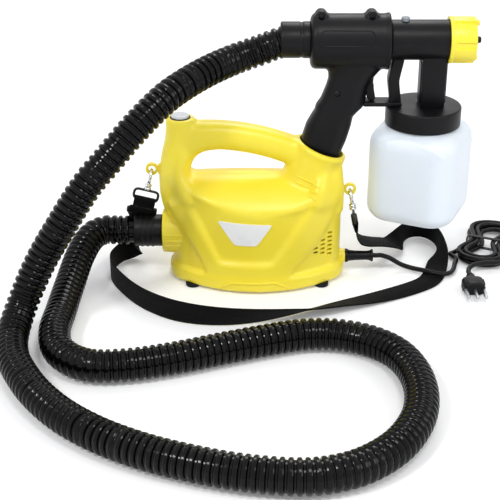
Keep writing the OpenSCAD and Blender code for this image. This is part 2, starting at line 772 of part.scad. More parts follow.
// Hank: loops drawn in at the waist; they spiral in through the lower layer and out through the upper one
hank_middle = [274, 56];
hank_turn = 66;
hank_half = 42;
hank_lobe = 24;
hank_waist = 5;
hank_gap = 0.9;
hank_spread = 1.6;
hank_spread_waist = 1.1;
hank_step = lead_d + hank_gap;
hank_rings = 24;
hank_first_turn = 2 / 3;
hank_last_turn = 0.583;
hank_middle_turn = hank_loops / 2;
tie_w = 5;
tie_t = 1.2;
hank_low = lead_d / 2 + tie_t + slide_gap;

// In the hank's own frame: x along its length, one loop for each whole turn
function hank_grow(turn) = abs(turn - hank_middle_turn) * hank_step;
function hank_climb(turn) = let (u = min(max((turn - hank_middle_turn) / 0.5 + 0.5, 0), 1)) u * u * (3 - 2 * u);
function hank_half_width(s, grow) = hank_lobe - (hank_lobe - hank_waist) * pow(s, 4)
    + (hank_spread - (hank_spread - hank_spread_waist) * pow(s, 8)) * grow;
function hank_point(turn) = let (a = -360 * turn, grow = hank_grow(turn))
    [(hank_half + grow) * cos(a), hank_half_width(sin(a), grow) * sin(a), hank_low + hank_climb(turn) * hank_step];
function hank_place(p) = [hank_middle.x + p.x * cos(hank_turn) - p.y * sin(hank_turn),
    hank_middle.y + p.x * sin(hank_turn) + p.y * cos(hank_turn), p.z];
hank_turns = hank_loops - hank_first_turn - hank_last_turn;
hank_count = floor(hank_turns * hank_rings);
hank_loop_path = [for (k = [0:hank_count]) hank_place(hank_point(hank_first_turn + hank_turns * k / hank_count))];
hank_leave = [hank_loop_path[hank_count - 1], hank_loop_path[hank_count]];
plug_neck = [240, -26, plug_t / 2 + 0.1];
tail_points = [[262, -0.5, 10.6], [250, -3, 10], [242.5, -9, 9], plug_neck + [0, 2 * lead_d, 0],
    plug_neck + [0, lead_d, 0], plug_neck];
hank_tail = curve(concat(hank_leave, tail_points), 2);
hank_path = concat(hank_loop_path, [for (k = [3:len(hank_tail) - 1]) hank_tail[k]]);
function least_gap(path, near, d) = min([for (i = [0:len(path) - 1], k = [0:len(path) - 1])
    if (k - i > near) norm(path[i] - path[k])]) - d;

module lead_hank() {
    echo(least_gap_in_hank = least_gap(hank_path, 6, lead_d));
    color(black) solid_tube(hank_path, lead_d / 2, 6);
}

lead_sides = 8;
hank_enter = unit(hank_loop_path[0] - hank_loop_path[1]);
lead_path = curve(concat(lead_points, [hank_loop_path[0] + 2 * lead_d * hank_enter,
    hank_loop_path[0] + lead_d * hank_enter, hank_loop_path[0]]), 4);

module mains_lead() {
    color(black) solid_tube(lead_path, lead_d / 2, lead_sides);
}

tie_top = hank_low + hank_step + lead_d / 2 + slide_gap;
tie_half = hank_half_width(1, hank_grow(hank_first_turn)) + lead_d / 2;

// Band round the waist of the hank
module hank_tie() {
    color("#2a2a2c") translate([hank_middle.x, hank_middle.y, 0]) rotate([0, 0, hank_turn]) difference() {
        translate([-tie_w / 2, -tie_half - tie_t, 0]) cube([tie_w, 2 * (tie_half + tie_t), tie_top + tie_t]);
        translate([-tie_w, -tie_half, tie_t]) cube([2 * tie_w, 2 * tie_half, tie_top - tie_t]);
    }
}

// Plug: neck towards the hank, pins towards -Y
module in_plug() {
    translate(plug_neck) children();
}

module plug_body() {
    color(black) in_plug() difference() {
        union() {
            rod_y(-plug_l + 14, 0, 10, 0, 0);
            front_prism(-plug_l + 1, -plug_l + 20) rounded(plug_w, plug_t, 6);
            front_prism(-plug_l, -plug_l + 2) rounded(plug_w - 2, plug_t - 2, 5);
        }
        for (k = [-1:1]) rod_y(-plug_l - 1, -plug_l + pin_root_l, pin_root_d + 2 * fit_gap, k * pin_pitch, 0);
    }
}

module plug_pins() {
    color(steel) in_plug() for (k = [-1:1]) {
        rod_y(-plug_l - pin_l + 1, -plug_l - face_gap, pin_d, k * pin_pitch, 0);
        rod_y(-plug_l - 1, -plug_l + pin_root_l, pin_root_d, k * pin_pitch, 0);
        translate([k * pin_pitch, -plug_l - pin_l + 1, 0]) rotate([90, 0, 0])
            cylinder(h = 1, d1 = pin_d, d2 = pin_d - 1.4);
    }
}

// Strap

// Strap hooks: each hangs from a lug, in a frame with its origin in the lug's hole

hook_r = 7.5;
hook_drop = 1.2;
hook_lean = [14, -10];
ring_turn = [0, 90];
shank_d = 5;
shank_l = 3;
swivel_d = 8;
swivel_l = 6;
ring_h = 12;
ring_w = strap_w + 2;
gate_open = 60;
gate_hinge = 14;
hook_bottom = -hook_drop - 2 * hook_r;
swivel_bottom = hook_bottom - shank_l - swivel_l;
ring_top = swivel_bottom - ring_wire / 2;
ring_bottom = ring_top - ring_h;

module at_lug(side) {
    place_of = side < 0 ? lug_left : lug_right;
    translate([place_of.x, 0, place_of.y]) rotate([0, hook_lean[side < 0 ? 0 : 1], 0]) children();
}

// Part of a wire circle in the (y, z) plane, from angle a0 over sweep, measured from +Y
module wire_arc(r, wire, a0, sweep) {
    rotate([90, 0, 90]) rotate([0, 0, a0]) rotate_extrude(angle = sweep) translate([r, 0]) circle(d = wire);
}

module hook(side) {
    color(steel) at_lug(side) {
        translate([0, 0, -hook_drop - hook_r]) wire_arc(hook_r, hook_wire, 20, 360 - gate_open - 20);
        translate([0, 0, hook_bottom - shank_l]) cylinder(h = shank_l, d = shank_d);
        translate([0, 0, swivel_bottom]) cylinder(h = swivel_l + 1, d = swivel_d);
    }
}

// Spring gate with its hinge eye; it closes the gap in the hook's wire
module gate(side) {
    clear = 9;
    a = 360 - gate_open + gate_hinge;
    color(steel) at_lug(side) translate([0, 0, -hook_drop - hook_r]) {
        wire_arc(hook_r, hook_wire - 1, a, gate_open + 20 - gate_hinge - clear);
        translate([0, hook_r * cos(a), hook_r * sin(a)]) rotate([0, 90, 0])
            cylinder(h = hook_wire, d = hook_wire - 1, center = true);
    }
}

// Oblong wire ring on the swivel
module strap_ring(side) {
    color(steel) at_lug(side) rotate([0, 0, ring_turn[side < 0 ? 0 : 1]]) {
        for (z = [ring_top - seat_gap, ring_bottom]) translate([0, 0, z]) rotate([0, 90, 0])
            cylinder(h = ring_w, d = ring_wire, center = true);
        for (x = [-1, 1]) {
            translate([x * ring_w / 2, 0, ring_bottom]) cylinder(h = ring_h - seat_gap, d = ring_wire);
            for (z = [ring_top - seat_gap, ring_bottom]) translate([x * ring_w / 2, 0, z]) sphere(d = ring_wire);
        }
    }
}

loop_l = 10;
loop_w = strap_w - 1;

// Sewn end of the strap: two layers round the ring's lower bar
module strap_loop(side) {
    bore = ring_wire + 2 * slide_gap;
    color(black) at_lug(side) rotate([0, 0, ring_turn[side < 0 ? 0 : 1]]) translate([0, 0, ring_bottom])
        side_prism(-loop_w / 2, loop_w / 2) difference() {
            union() {
                circle(d = bore + 2 * strap_t);
                translate([-strap_t, -loop_l]) square([2 * strap_t, loop_l]);
            }
            circle(d = bore);
        }
}

// Ribbon along a path whose last three columns give the direction of its width
function ribbon_ring(path, i, w, t) = let (d = tangent(path, i), lean = [path[i][3], path[i][4], path[i][5]],
    wide = unit(lean - (lean * d) * d), thin = cross(d, wide))
    [for (c = [[-1, -1], [1, -1], [1, 1], [-1, 1]]) place(path[i]) + wide * c.x * w / 2 + thin * c.y * t / 2];

// Point below the sewn loop's end by drop, with the loop's width
function loop_foot(side, drop) = let (k = side < 0 ? 0 : 1, lug_place = [lug_left, lug_right][k], a = hook_lean[k],
    z = ring_bottom - loop_l - drop) [lug_place.x + z * sin(a), 0, lug_place.y + z * cos(a),
    side < 0 ? cos(a) : 0, side < 0 ? 0 : 1, side < 0 ? -sin(a) : 0];
strap_path = curve(concat([for (drop = [face_gap, 1.2, 2.4]) loop_foot(-1, drop)], strap_route,
    [for (drop = [5.4, strap_t, face_gap]) loop_foot(1, drop)]), 3);

module shoulder_strap() {
    m = len(strap_path);
    points = [for (i = [0:m - 1]) each ribbon_ring(strap_path, i, strap_w, strap_t)];
    faces = concat(skin(m, 4, 0), cap(4, 0), flipped(cap(4, (m - 1) * 4)));
    color(black) polyhedron(points = points, faces = flipped(faces), convexity = 10);
}

module hook_left() { hook(-1); }
module hook_right() { hook(1); }
module gate_left() { gate(-1); }
module gate_right() { gate(1); }
module ring_left() { strap_ring(-1); }
module ring_right() { strap_ring(1); }
module strap_loop_left() { strap_loop(-1); }
module strap_loop_right() { strap_loop(1); }

// Gun

gun_inlet_d = 32;
gun_end = gun_x + gun_l;
grip_top = 112;
grip_bottom = -holster_depth + slide_gap;
ear_x = [66, 118.5];
ear_z = gun_z + gun_d / 2 - 2;
ear_d = 13;
ear_w = 16;
gun_screw_d = 3;
gun_screw_head = 6;
grip_screw_l = 70;
grip_screw = [rim_x + grip_screw_l * sin(holster_tilt) - 12, rim_z + grip_screw_l * cos(holster_tilt)];
pivot = [122, gun_z + 11];
pivot_d = 4;
web_x = 82;
web_t = 4;
spigot_l = 6;
slot_w = trigger_w + 1.4;

// Solid outside of the gun's body and grip, or its inside
module gun_form(inset) {
    rod_x(gun_x + inset, gun_end + (inset > 0 ? 1 : 0), gun_d - 2 * inset, gun_z);
    in_holster() translate([0, 0, grip_bottom + inset]) linear_extrude(grip_top - grip_bottom - inset)
        rounded(grip_l - 2 * inset, grip_w - 2 * inset, grip_w / 2 - 3 - inset);
}

module gun_shell() {
    difference() {
        union() {
            gun_form(0);
            for (x = ear_x) rod_y(-ear_w / 2, ear_w / 2, ear_d, x, ear_z);
        }
        difference() {
            gun_form(gun_wall);
            for (x = ear_x) rod_y(-ear_w / 2, ear_w / 2, ear_d, x, ear_z);
            rod_x(web_x, web_x + web_t, gun_d, gun_z);
            for (s = [-1, 1]) rod_y(s < 0 ? -gun_d / 2 : slot_w / 2, s < 0 ? -slot_w / 2 : gun_d / 2, pivot_d + 5,
                pivot.x, pivot.y);
            rod_y(-grip_w / 2, grip_w / 2, gun_screw_head + 3, grip_screw.x, grip_screw.y);
        }
        rod_x(gun_x - 1, gun_x + gun_wall + 1, gun_inlet_d, gun_z);
        rod_x(web_x - 1, web_x + web_t + 1, needle_d + 2 * slide_gap, gun_z);
        for (a = [0:90:270]) translate([0, 0, gun_z]) rotate([a, 0, 0]) rod_x(web_x - 1, web_x + web_t + 1, 9, 14);
        rod_y(-gun_d / 2 + 4, gun_d / 2 - 4, pivot_d + 2 * fit_gap, pivot.x, pivot.y);
        translate([trigger_low.x - 30, -slot_w / 2, trigger_low.y - 6])
            cube([pivot.x + 12 - trigger_low.x + 30, slot_w, gun_z - gun_d / 4 - trigger_low.y + 6]);
        for (p = gun_screw_places) {
            rod_y(-gun_d, gun_d, gun_screw_d + 2 * seat_gap, p.x, p.y);
            for (s = [-1, 1]) rod_y(s < 0 ? -gun_d : p.z, s < 0 ? -p.z : gun_d, gun_screw_head + 2 * seat_gap, p.x, p.y);
        }
    }
}

// Each screw: x, z and the depth of its head's seat on both sides
gun_screw_places = [[ear_x[0], ear_z + 1, ear_w / 2 - 3], [ear_x[1], ear_z + 1, ear_w / 2 - 3],
    [grip_screw.x, grip_screw.y, grip_w / 2 - 5]];

module gun_shell_front() {
    color(black) half(-1) gun_shell();
}

module gun_shell_rear() {
    color(black) half(1) gun_shell();
}

module gun_screws() {
    color(steel) for (p = gun_screw_places) {
        rod_y(-p.z - 2, p.z - 1, gun_screw_d, p.x, p.y);
        rod_y(-p.z - 2.2, -p.z, gun_screw_head, p.x, p.y);
    }
}

// Front barrel with its spigot, core, web and square feed column

barrel_end = gun_end + barrel_l;
barrel_wall = 4;
core_d = 14;
core_end = barrel_end - 3;
cup_x = 178.5;
feed_x = 186;
lid_top = 202;
channel_d = 6;
button_x = 154;
button_w = 9;
strut_x = 148;

module front_barrel() {
    color(black) difference() {
        union() {
            difference() {
                union() {
                    rod_x(gun_end + seat_gap, barrel_end, barrel_d, gun_z);
                    rod_x(gun_end - spigot_l, gun_end + 1, gun_d - 2 * gun_wall - 2 * seat_gap, gun_z);
                    translate([feed_x - feed_w / 2, -feed_w / 2, lid_top])
                        cube([feed_w, feed_w, gun_z - barrel_d / 2 + 6 - lid_top]);
                }
                rod_x(gun_end + 3, barrel_end + 1, barrel_d - 2 * barrel_wall, gun_z);
                rod_x(gun_end - spigot_l - 1, gun_end + 4, barrel_d - 2 * barrel_wall - 6, gun_z);
            }
            rod_x(gun_end - spigot_l, core_end, core_d, gun_z);
            translate([gun_end - spigot_l, -2, gun_z - gun_d / 2 + gun_wall + 4])
                cube([spigot_l + 6, 4, gun_d - 2 * gun_wall - 8]);
            translate([feed_x - 6, -core_d / 2 + 1, gun_z - barrel_d / 2 + 1]) cube([12, core_d - 2, barrel_d / 2]);
        }
        rod_x(gun_end - spigot_l - 1, core_end + 1, needle_d + 2 * slide_gap, gun_z);
        rod_x(feed_x - channel_d, core_end + 1, channel_d + 2, gun_z);
        translate([feed_x, 0, lid_top - 1]) cylinder(h = gun_z - lid_top, d = channel_d);
        translate([button_x, 0, gun_z]) cylinder(h = barrel_d, d = button_w + 2 * slide_gap);
    }
}

button_rise = 4;
button_press = 2;

module release_button() {
    color("#8a8d92") translate([button_x, 0, gun_z + barrel_d / 2 - barrel_wall])
        cylinder(h = barrel_wall + button_rise, d = button_w);
}

guard_w = 20;
guard_t = 4.5;
guard_z = lid_top + seat_gap;
strut_w = 12;
strut_depth = 16;

// Finger guard: flat bar under the trigger and bent strut up to the barrel
module trigger_guard() {
    grip_front = rim_x + (guard_z + guard_t - rim_z) * tan(holster_tilt) + grip_l / 2 / cos(holster_tilt);
    bar_end = strut_x + strut_w / 2;
    top_z = gun_z - barrel_d / 2 + 6;
    bend_z = (guard_z + top_z) / 2;
    color(black) difference() {
        union() {
            translate([grip_front + seat_gap, -guard_w / 2, guard_z])
                cube([bar_end - grip_front - seat_gap, guard_w, guard_t]);
            front_prism(-strut_depth / 2, strut_depth / 2) polygon([[bar_end - strut_w, guard_z],
                [bar_end, guard_z], [bar_end - 4, bend_z], [bar_end + 1, top_z], [bar_end - strut_w + 1, top_z],
                [bar_end - strut_w - 4, bend_z]]);
        }
        rod_x(gun_end - 20, barrel_end, barrel_d + 2 * seat_gap, gun_z);
    }
}

// Trigger: hangs from its pin above the needle, straddles it and leaves through a slot

trigger_low = [119, 207];
trigger_arm_w = 9;
flow_z = 222;
flow_d = 7;
flow_seat = 1;

module trigger() {
    half_w = trigger_arm_w / 2;
    lip = 3;
    color(black) difference() {
        union() {
            rod_y(-trigger_w / 2, trigger_w / 2, trigger_arm_w + 3, pivot.x, pivot.y);
            front_prism(-trigger_w / 2, trigger_w / 2) polygon([[pivot.x - half_w, pivot.y],
                [pivot.x + half_w, pivot.y], [pivot.x + half_w, gun_z - 20], [trigger_low.x + half_w - 1, flow_z + 6],
                [trigger_low.x + half_w + lip, trigger_low.y], [trigger_low.x - half_w + lip, trigger_low.y],
                [trigger_low.x - half_w - 1, flow_z + 6], [pivot.x - half_w, gun_z - 20]]);
        }
        rod_y(-far, far, pivot_d + 2 * fit_gap, pivot.x, pivot.y);
        translate([pivot.x - 20, -needle_d / 2 - 0.8, gun_z - needle_d / 2 - 1.5])
            cube([40, needle_d + 1.6, needle_d + 3]);
        rod_x(trigger_low.x - 20, trigger_low.x + 20, flow_d - 2 + 2 * fit_gap, flow_z);
        rod_x(trigger_low.x + flow_seat, trigger_low.x + 20, flow_d + 2 * slide_gap, flow_z);
    }
}

module trigger_pin() {
    color(steel) rod_y(-gun_d / 2 + 4.5, gun_d / 2 - 4.5, pivot_d, pivot.x, pivot.y);
}

// Knurled flow screw in the trigger
module flow_screw() {
    color(steel) {
        rod_x(trigger_low.x - 12, trigger_low.x + flow_seat + 2, flow_d - 2, flow_z);
        rod_x(trigger_low.x + flow_seat + seat_gap, trigger_low.x + flow_seat + 4, flow_d, flow_z);
    }
}

collar_end = pivot.x - trigger_arm_w / 2 - slide_gap;
needle_collar_d = 8;
needle_collar_l = 6;
nozzle_end = barrel_end + 31;
tip_bore = 2.4;
nozzle_bore = needle_d + 0.8;

module needle() {
    color(steel) {
        rod_x(web_x - 8, nozzle_end - 9, needle_d, gun_z);
        translate([nozzle_end - 9, 0, gun_z]) rotate([0, 90, 0]) cylinder(h = 6, d1 = needle_d, d2 = tip_bore - 0.8);
        rod_x(collar_end - needle_collar_l, collar_end, needle_collar_d, gun_z);
    }
}

module needle_spring() {
    color(steel) tube_x(web_x + web_t, collar_end - needle_collar_l - seat_gap, needle_collar_d - 0.4, needle_d + 1, gun_z);
}

module packing_nut() {
    color("#caa24a") tube_x(gun_end - spigot_l - 5, gun_end - spigot_l, core_d - 3, needle_d + 2 * slide_gap, gun_z);
}

module fluid_nozzle() {
    neck = nozzle_end - 8;
    color(black) difference() {
        union() {
            rod_x(core_end, neck, core_d - 2, gun_z);
            translate([neck, 0, gun_z]) rotate([0, 90, 0]) cylinder(h = 8, d1 = core_d - 4, d2 = 6);
        }
        rod_x(core_end - 1, neck, nozzle_bore, gun_z);
        translate([neck, 0, gun_z]) rotate([0, 90, 0]) cylinder(h = 5, d1 = nozzle_bore, d2 = tip_bore);
        rod_x(neck, nozzle_end + 1, tip_bore, gun_z);
    }
}

cap_start = barrel_end - 3.5;
cap_l = 29;
cap_rib = 4;
horn = [5, 8, 5];
horn_r = 14;
cap_front = cap_start + cap_l;

module air_cap() {
    color(yellow) difference() {
        union() {
            rod_x(cap_start, cap_front - 7, cap_d, gun_z);
            rod_x(cap_front - 8, cap_front, cap_d - 6, gun_z);
            for (s = [-1, 1]) translate([cap_front - 1, -horn.y / 2, gun_z + s * horn_r - horn.z / 2]) cube(horn);
            for (a = [0:30:330]) translate([0, 0, gun_z]) rotate([a, 0, 0])
                rod_x(cap_start + 3, cap_front - 10, cap_rib, cap_d / 2 - 1.2);
        }
        rod_x(cap_start - 1, barrel_end + 2, barrel_d + 2 * slide_gap, gun_z);
        rod_x(cap_start, cap_front - 4, barrel_d - 6, gun_z);
        rod_x(cap_start, cap_front + 6, core_d, gun_z);
        for (s = [-1, 1]) rod_x(cap_front - 5, cap_front + 6, 2, gun_z + s * horn_r);
    }
}

// Lid, gasket, pick-up tube and cup

lid_wall = 3;
lid_bottom = lid_top - lid_h;
lid_roof = 4;
tube_d = 8;
neck_d = lid_d - 2 * lid_wall - 2 * slide_gap;
gasket_t = 2.4;
neck_top = lid_top - lid_roof - gasket_t - slide_gap;
cup_top = lid_bottom - 1;
cup_edge_r = 18;

module cup_lid() {
    color(black) difference() {
        translate([cup_x, 0, lid_bottom]) cylinder(h = lid_h, d = lid_d);
        translate([cup_x, 0, lid_bottom - 1]) cylinder(h = lid_h - lid_roof + 1, d = lid_d - 2 * lid_wall);
        translate([feed_x, 0, lid_bottom]) cylinder(h = lid_h + 1, d = tube_d + 2 * fit_gap);
    }
}

module lid_gasket() {
    color("#303030") translate([cup_x, 0, lid_top - lid_roof - gasket_t]) difference() {
        cylinder(h = gasket_t, d = neck_d - 1);
        translate([0, 0, -1]) cylinder(h = gasket_t + 2, d = neck_d - 12);
    }
}

module pickup_tube() {
    color("#d9d9d2") translate([feed_x, 0, cup_z + cup_wall + 5]) difference() {
        cylinder(h = lid_top - cup_z - cup_wall - 5, d = tube_d);
        translate([0, 0, -1]) cylinder(h = far, d = tube_d - 3);
    }
}

// Cup body let in by inset: the same round-cornered shape seen from above, from the front and from the side
module cup_block(inset) {
    w = cup_w - 2 * inset;
    h = cup_top - cup_z - 2 * inset;
    translate([cup_x, 0, (cup_top + cup_z) / 2]) rotate([0, 0, cup_turn]) intersection() {
        linear_extrude(h, center = true) rounded(w, w, cup_r - inset);
        rotate([90, 0, 0]) linear_extrude(w + 2, center = true) rounded(w, h, cup_edge_r - inset);
        rotate([90, 0, 90]) linear_extrude(w + 2, center = true) rounded(w, h, cup_edge_r - inset);
    }
}

module cup() {
    color("#f4f4f0") difference() {
        union() {
            cup_block(0);
            translate([cup_x, 0, cup_top - cup_wall]) cylinder(h = neck_top - cup_top + cup_wall, d = neck_d);
        }
        cup_block(cup_wall);
        translate([cup_x, 0, cup_top - cup_edge_r]) cylinder(h = far, d = neck_d - 2 * cup_wall - 2);
    }
}

housing_front();
housing_rear();
housing_screws();
rubber_feet();
front_plate();
switch_bezel();
switch_button();
switch_body();
outlet_socket();
strain_relief();
motor_can();
motor_end_plate();
stator_core();
motor_shaft();
armature();
commutator();
motor_bearings();
brush_holders();
carbon_brushes();
fan_shroud();
impeller();
fan_nut();
air_filter();
hose();
hose_cuff_blower();
hose_cuff_gun();
mains_lead();
lead_hank();
hank_tie();
plug_body();
plug_pins();
shoulder_strap();
strap_loop_left();
strap_loop_right();
hook_left();
hook_right();
gate_left();
gate_right();
ring_left();
ring_right();
gun_shell_front();
gun_shell_rear();
gun_screws();
front_barrel();
trigger_guard();
trigger();
trigger_pin();
flow_screw();
needle();
needle_spring();
packing_nut();
fluid_nozzle();
air_cap();
release_button();
cup_lid();
lid_gasket();
pickup_tube();
cup();
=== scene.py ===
# %% [markdown]
# # A turbine paint sprayer
# The object is a floor blower with a carrying handle. Its spray gun stands in a
# holster on the right, and a ribbed air hose joins the two. We load the solid
# model first, because every piece is then made in its frame, in metres.

# %% Load the solid model
import json
from math import cos, pi, radians, sin, tan

import bmesh
import bpy
from mathutils import Matrix, Vector
from mathutils.bvhtree import BVHTree
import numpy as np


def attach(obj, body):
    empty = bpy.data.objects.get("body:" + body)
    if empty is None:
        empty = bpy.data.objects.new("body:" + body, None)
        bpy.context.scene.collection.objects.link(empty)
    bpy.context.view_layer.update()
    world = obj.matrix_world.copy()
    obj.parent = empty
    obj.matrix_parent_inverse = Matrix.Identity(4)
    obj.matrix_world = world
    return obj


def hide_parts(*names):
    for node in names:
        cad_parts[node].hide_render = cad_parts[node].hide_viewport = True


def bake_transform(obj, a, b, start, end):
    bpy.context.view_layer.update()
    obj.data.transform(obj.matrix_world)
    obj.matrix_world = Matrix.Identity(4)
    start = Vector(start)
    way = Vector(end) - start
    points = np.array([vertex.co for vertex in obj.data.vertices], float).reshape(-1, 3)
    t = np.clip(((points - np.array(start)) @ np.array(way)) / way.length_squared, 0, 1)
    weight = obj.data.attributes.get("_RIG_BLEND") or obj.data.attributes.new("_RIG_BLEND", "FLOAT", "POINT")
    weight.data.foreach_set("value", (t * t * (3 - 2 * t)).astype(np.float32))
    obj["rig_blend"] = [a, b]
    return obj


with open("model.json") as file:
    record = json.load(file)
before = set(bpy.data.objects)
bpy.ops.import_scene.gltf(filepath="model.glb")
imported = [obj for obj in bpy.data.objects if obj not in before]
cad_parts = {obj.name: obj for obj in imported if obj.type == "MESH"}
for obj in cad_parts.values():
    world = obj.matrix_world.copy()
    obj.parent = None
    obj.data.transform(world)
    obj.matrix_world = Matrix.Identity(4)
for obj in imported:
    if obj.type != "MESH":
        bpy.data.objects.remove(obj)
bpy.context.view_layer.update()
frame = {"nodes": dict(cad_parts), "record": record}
MM = 0.001
scene = bpy.context.scene

# %% [markdown]
# ## Camera
# The photograph looks down at the front by 26.5 degrees from a little over a
# metre. A long lens keeps the upright lines nearly parallel.

# %% Camera
camera = bpy.data.objects.new("camera", bpy.data.cameras.new("camera"))
scene.collection.objects.link(camera)
camera.location = Vector((-8, -1224, 637)) * MM
camera.rotation_euler = (radians(90 - 26.5), 0, 0)
camera.data.lens = 86.4
camera.data.sensor_width = 36
scene.camera = camera
scene.view_settings.view_transform = "Standard"
print("camera at", [round(c, 3) for c in camera.location])

# %% [markdown]
# ## Small tools
# Three ways of shaping cover nearly every piece: an outline pushed along a row
# of frames (sweep), an outline turned about an axis (lathe) and a flat outline
# given a depth with eased edges (slab). All sizes are typed in millimetres.


# %% Outlines and frames
def eased(points, r, closed=True):
    """The outline with each corner replaced by a small curve of about radius r."""
    out = []
    count = len(points)
    for i, p in enumerate(points):
        p = Vector(p)
        if not closed and i in (0, count - 1):
            out.append(p)
            continue
        a, b = Vector(points[i - 1]) - p, Vector(points[(i + 1) % count]) - p
        d = min(r, a.length * 0.45, b.length * 0.45)
        first, last = p + a.normalized() * d, p + b.normalized() * d
        out += [first, (first + last + 2 * p) / 4, last]
    return out


def ring_outline(r, count):
    """Points of a circle of radius r."""
    return [Vector((r * cos(2 * pi * k / count), r * sin(2 * pi * k / count))) for k in range(count)]


def smooth_route(points, steps):
    """A smooth curve that passes through all the points."""
    points = [Vector(p) for p in points]
    ends = [points[0], *points, points[-1]]
    path = []
    for a, b, c, d in zip(ends, ends[1:], ends[2:], ends[3:]):
        for k in range(steps):
            t = k / steps
            path.append(0.5 * (2 * b + (c - a) * t + (2 * a - 5 * b + 4 * c - d) * t * t
                               + (3 * b - a - 3 * c + d) * t * t * t))
    return path + [points[-1]]


def spaced(path, stops):
    """Points of the path at the given distances along it."""
    out, i, start = [], 0, 0.0
    for stop in stops:
        while i < len(path) - 2 and start + (path[i + 1] - path[i]).length < stop:
            start += (path[i + 1] - path[i]).length
            i += 1
        step = path[i + 1] - path[i]
        out.append(path[i] + step * min(1, max(0, (stop - start) / max(step.length, 1e-9))))
    return out


def length_of(path):
    return sum((b - a).length for a, b in zip(path, path[1:]))


def frames_along(path, sizes=None, wide=None, closed=False):
    """A matrix for each point: z runs along the path, x is carried along without twist or follows wide."""
    matrices, x = [], None
    count = len(path)
    for i, p in enumerate(path):
        before = path[i - 1] if i or closed else p
        after = path[(i + 1) % count] if i < count - 1 or closed else p
        z = (after - before).normalized()
        if wide:
            x = wide[i]
        elif x is None:
            x = z.orthogonal()
        x = (x - x.dot(z) * z).normalized()
        y = z.cross(x)
        turn = Matrix((x, y, z)).transposed().to_4x4()
        size = Matrix.Scale(sizes[i] if sizes else 1, 4)
        matrices.append(Matrix.Translation(p * MM) @ turn @ size)
    return matrices


print("a corner eased by 2 mm:", [tuple(round(c, 2) for c in p) for p in eased([(0, 0), (10, 0), (0, 10)], 2)[:3]])


# %% Sweep, lathe and slab
def sweep(bm, outline, matrices, along=None):
    """Push a flat outline (mm) through the matrices; along, if given, is kept for the weave."""
    if along:
        layers = bm.verts.layers.float
        run, across = (layers.get(key) or layers.new(key) for key in ("along", "across"))
    verts = [bm.verts.new((p[0] * MM, p[1] * MM, 0)) for p in outline]
    face = bm.faces.new(verts)
    if along:
        for v in verts:
            v[across], v[run] = v.co.x, along[0] * MM
    bmesh.ops.transform(bm, matrix=matrices[0], verts=verts)
    for i, (before, after) in enumerate(zip(matrices, matrices[1:])):
        made = bmesh.ops.extrude_face_region(bm, geom=[face])["geom"]
        face = next(g for g in made if isinstance(g, bmesh.types.BMFace))
        verts = [g for g in made if isinstance(g, bmesh.types.BMVert)]
        bmesh.ops.transform(bm, matrix=after @ before.inverted(), verts=verts)
        if along:
            for v in verts:
                v[run] = along[i + 1] * MM
    return face


def outward(bm):
    bmesh.ops.remove_doubles(bm, verts=bm.verts, dist=2e-6)
    bmesh.ops.recalc_face_normals(bm, faces=bm.faces)


def closed_wire(bm, outline, path, wide=None):
    """A sweep round a closed path, such as a wire ring."""
    matrices = frames_along(path, wide=wide, closed=True)
    start = len(bm.verts)
    sweep(bm, outline, matrices)
    bm.verts.ensure_lookup_table()
    bm.faces.ensure_lookup_table()
    ends = [f for f in bm.faces if len(f.verts) == len(outline) and len(outline) > 4
            and all(v.index >= start or v.index < 0 for v in f.verts)]
    bmesh.ops.delete(bm, geom=ends, context="FACES_ONLY")
    loose = [e for e in bm.edges if len(e.link_faces) == 1]
    bmesh.ops.bridge_loops(bm, edges=loose)


def axis_x(x, z, y=0):
    """Turns a lathe's axis from +Z to +X, with its zero at x."""
    return Matrix.Translation(Vector((x, y, z)) * MM) @ Matrix.Rotation(pi / 2, 4, "Y")


def axis_y(x, y, z):
    """Turns a lathe's axis from +Z to -Y."""
    return Matrix.Translation(Vector((x, y, z)) * MM) @ Matrix.Rotation(pi / 2, 4, "X")


def axis_z(x, y, z):
    return Matrix.Translation(Vector((x, y, z)) * MM)


def lathe(bm, outline, matrix, steps=64, ease=0.5, closed=False):
    """Turn an outline of (radius, height) in mm. An open one starts and ends on the axis."""
    points = eased(outline, ease, closed)
    verts = [bm.verts.new((p[0] * MM, 0, p[1] * MM)) for p in points]
    pairs = list(zip(verts, verts[1:])) + ([(verts[-1], verts[0])] if closed else [])
    edges = [bm.edges.new(pair) for pair in pairs]
    made = bmesh.ops.spin(bm, geom=verts + edges, cent=(0, 0, 0), axis=(0, 0, 1), angle=2 * pi,
                          steps=steps, use_merge=True, dvec=(0, 0, 0))
    seen = {v for e in edges for v in e.verts}
    todo = list(seen)
    while todo:
        for e in todo.pop().link_edges:
            for v in e.verts:
                if v not in seen:
                    seen.add(v)
                    todo.append(v)
    bmesh.ops.transform(bm, matrix=matrix, verts=list(seen))
    return made


def slab(bm, outline, matrix, depth, ease=0.6, segments=3):
    """A flat outline (mm) with a depth along the matrix's z, all its sharp edges eased."""
    part = bmesh.new()
    sweep(part, outline, [Matrix.Identity(4), Matrix.Translation((0, 0, depth * MM))])
    outward(part)
    if ease:
        sharp = [e for e in part.edges if len(e.link_faces) == 2 and e.calc_face_angle() > radians(30)]
        bmesh.ops.bevel(part, geom=sharp, offset=ease * MM, offset_type="OFFSET", segments=segments,
                        profile=0.5, affect="EDGES", material=-1, clamp_overlap=True)
    bmesh.ops.transform(part, matrix=matrix, verts=part.verts)
    spare = bpy.data.meshes.new("spare")
    part.to_mesh(spare)
    part.free()
    bm.from_mesh(spare)
    bpy.data.meshes.remove(spare)


FRONT = Matrix.Rotation(pi / 2, 4, "X")


def front_view(y):
    """Outlines drawn as (x, z) stand at this y; their depth then runs towards -Y."""
    return Matrix.Translation((0, y * MM, 0)) @ FRONT


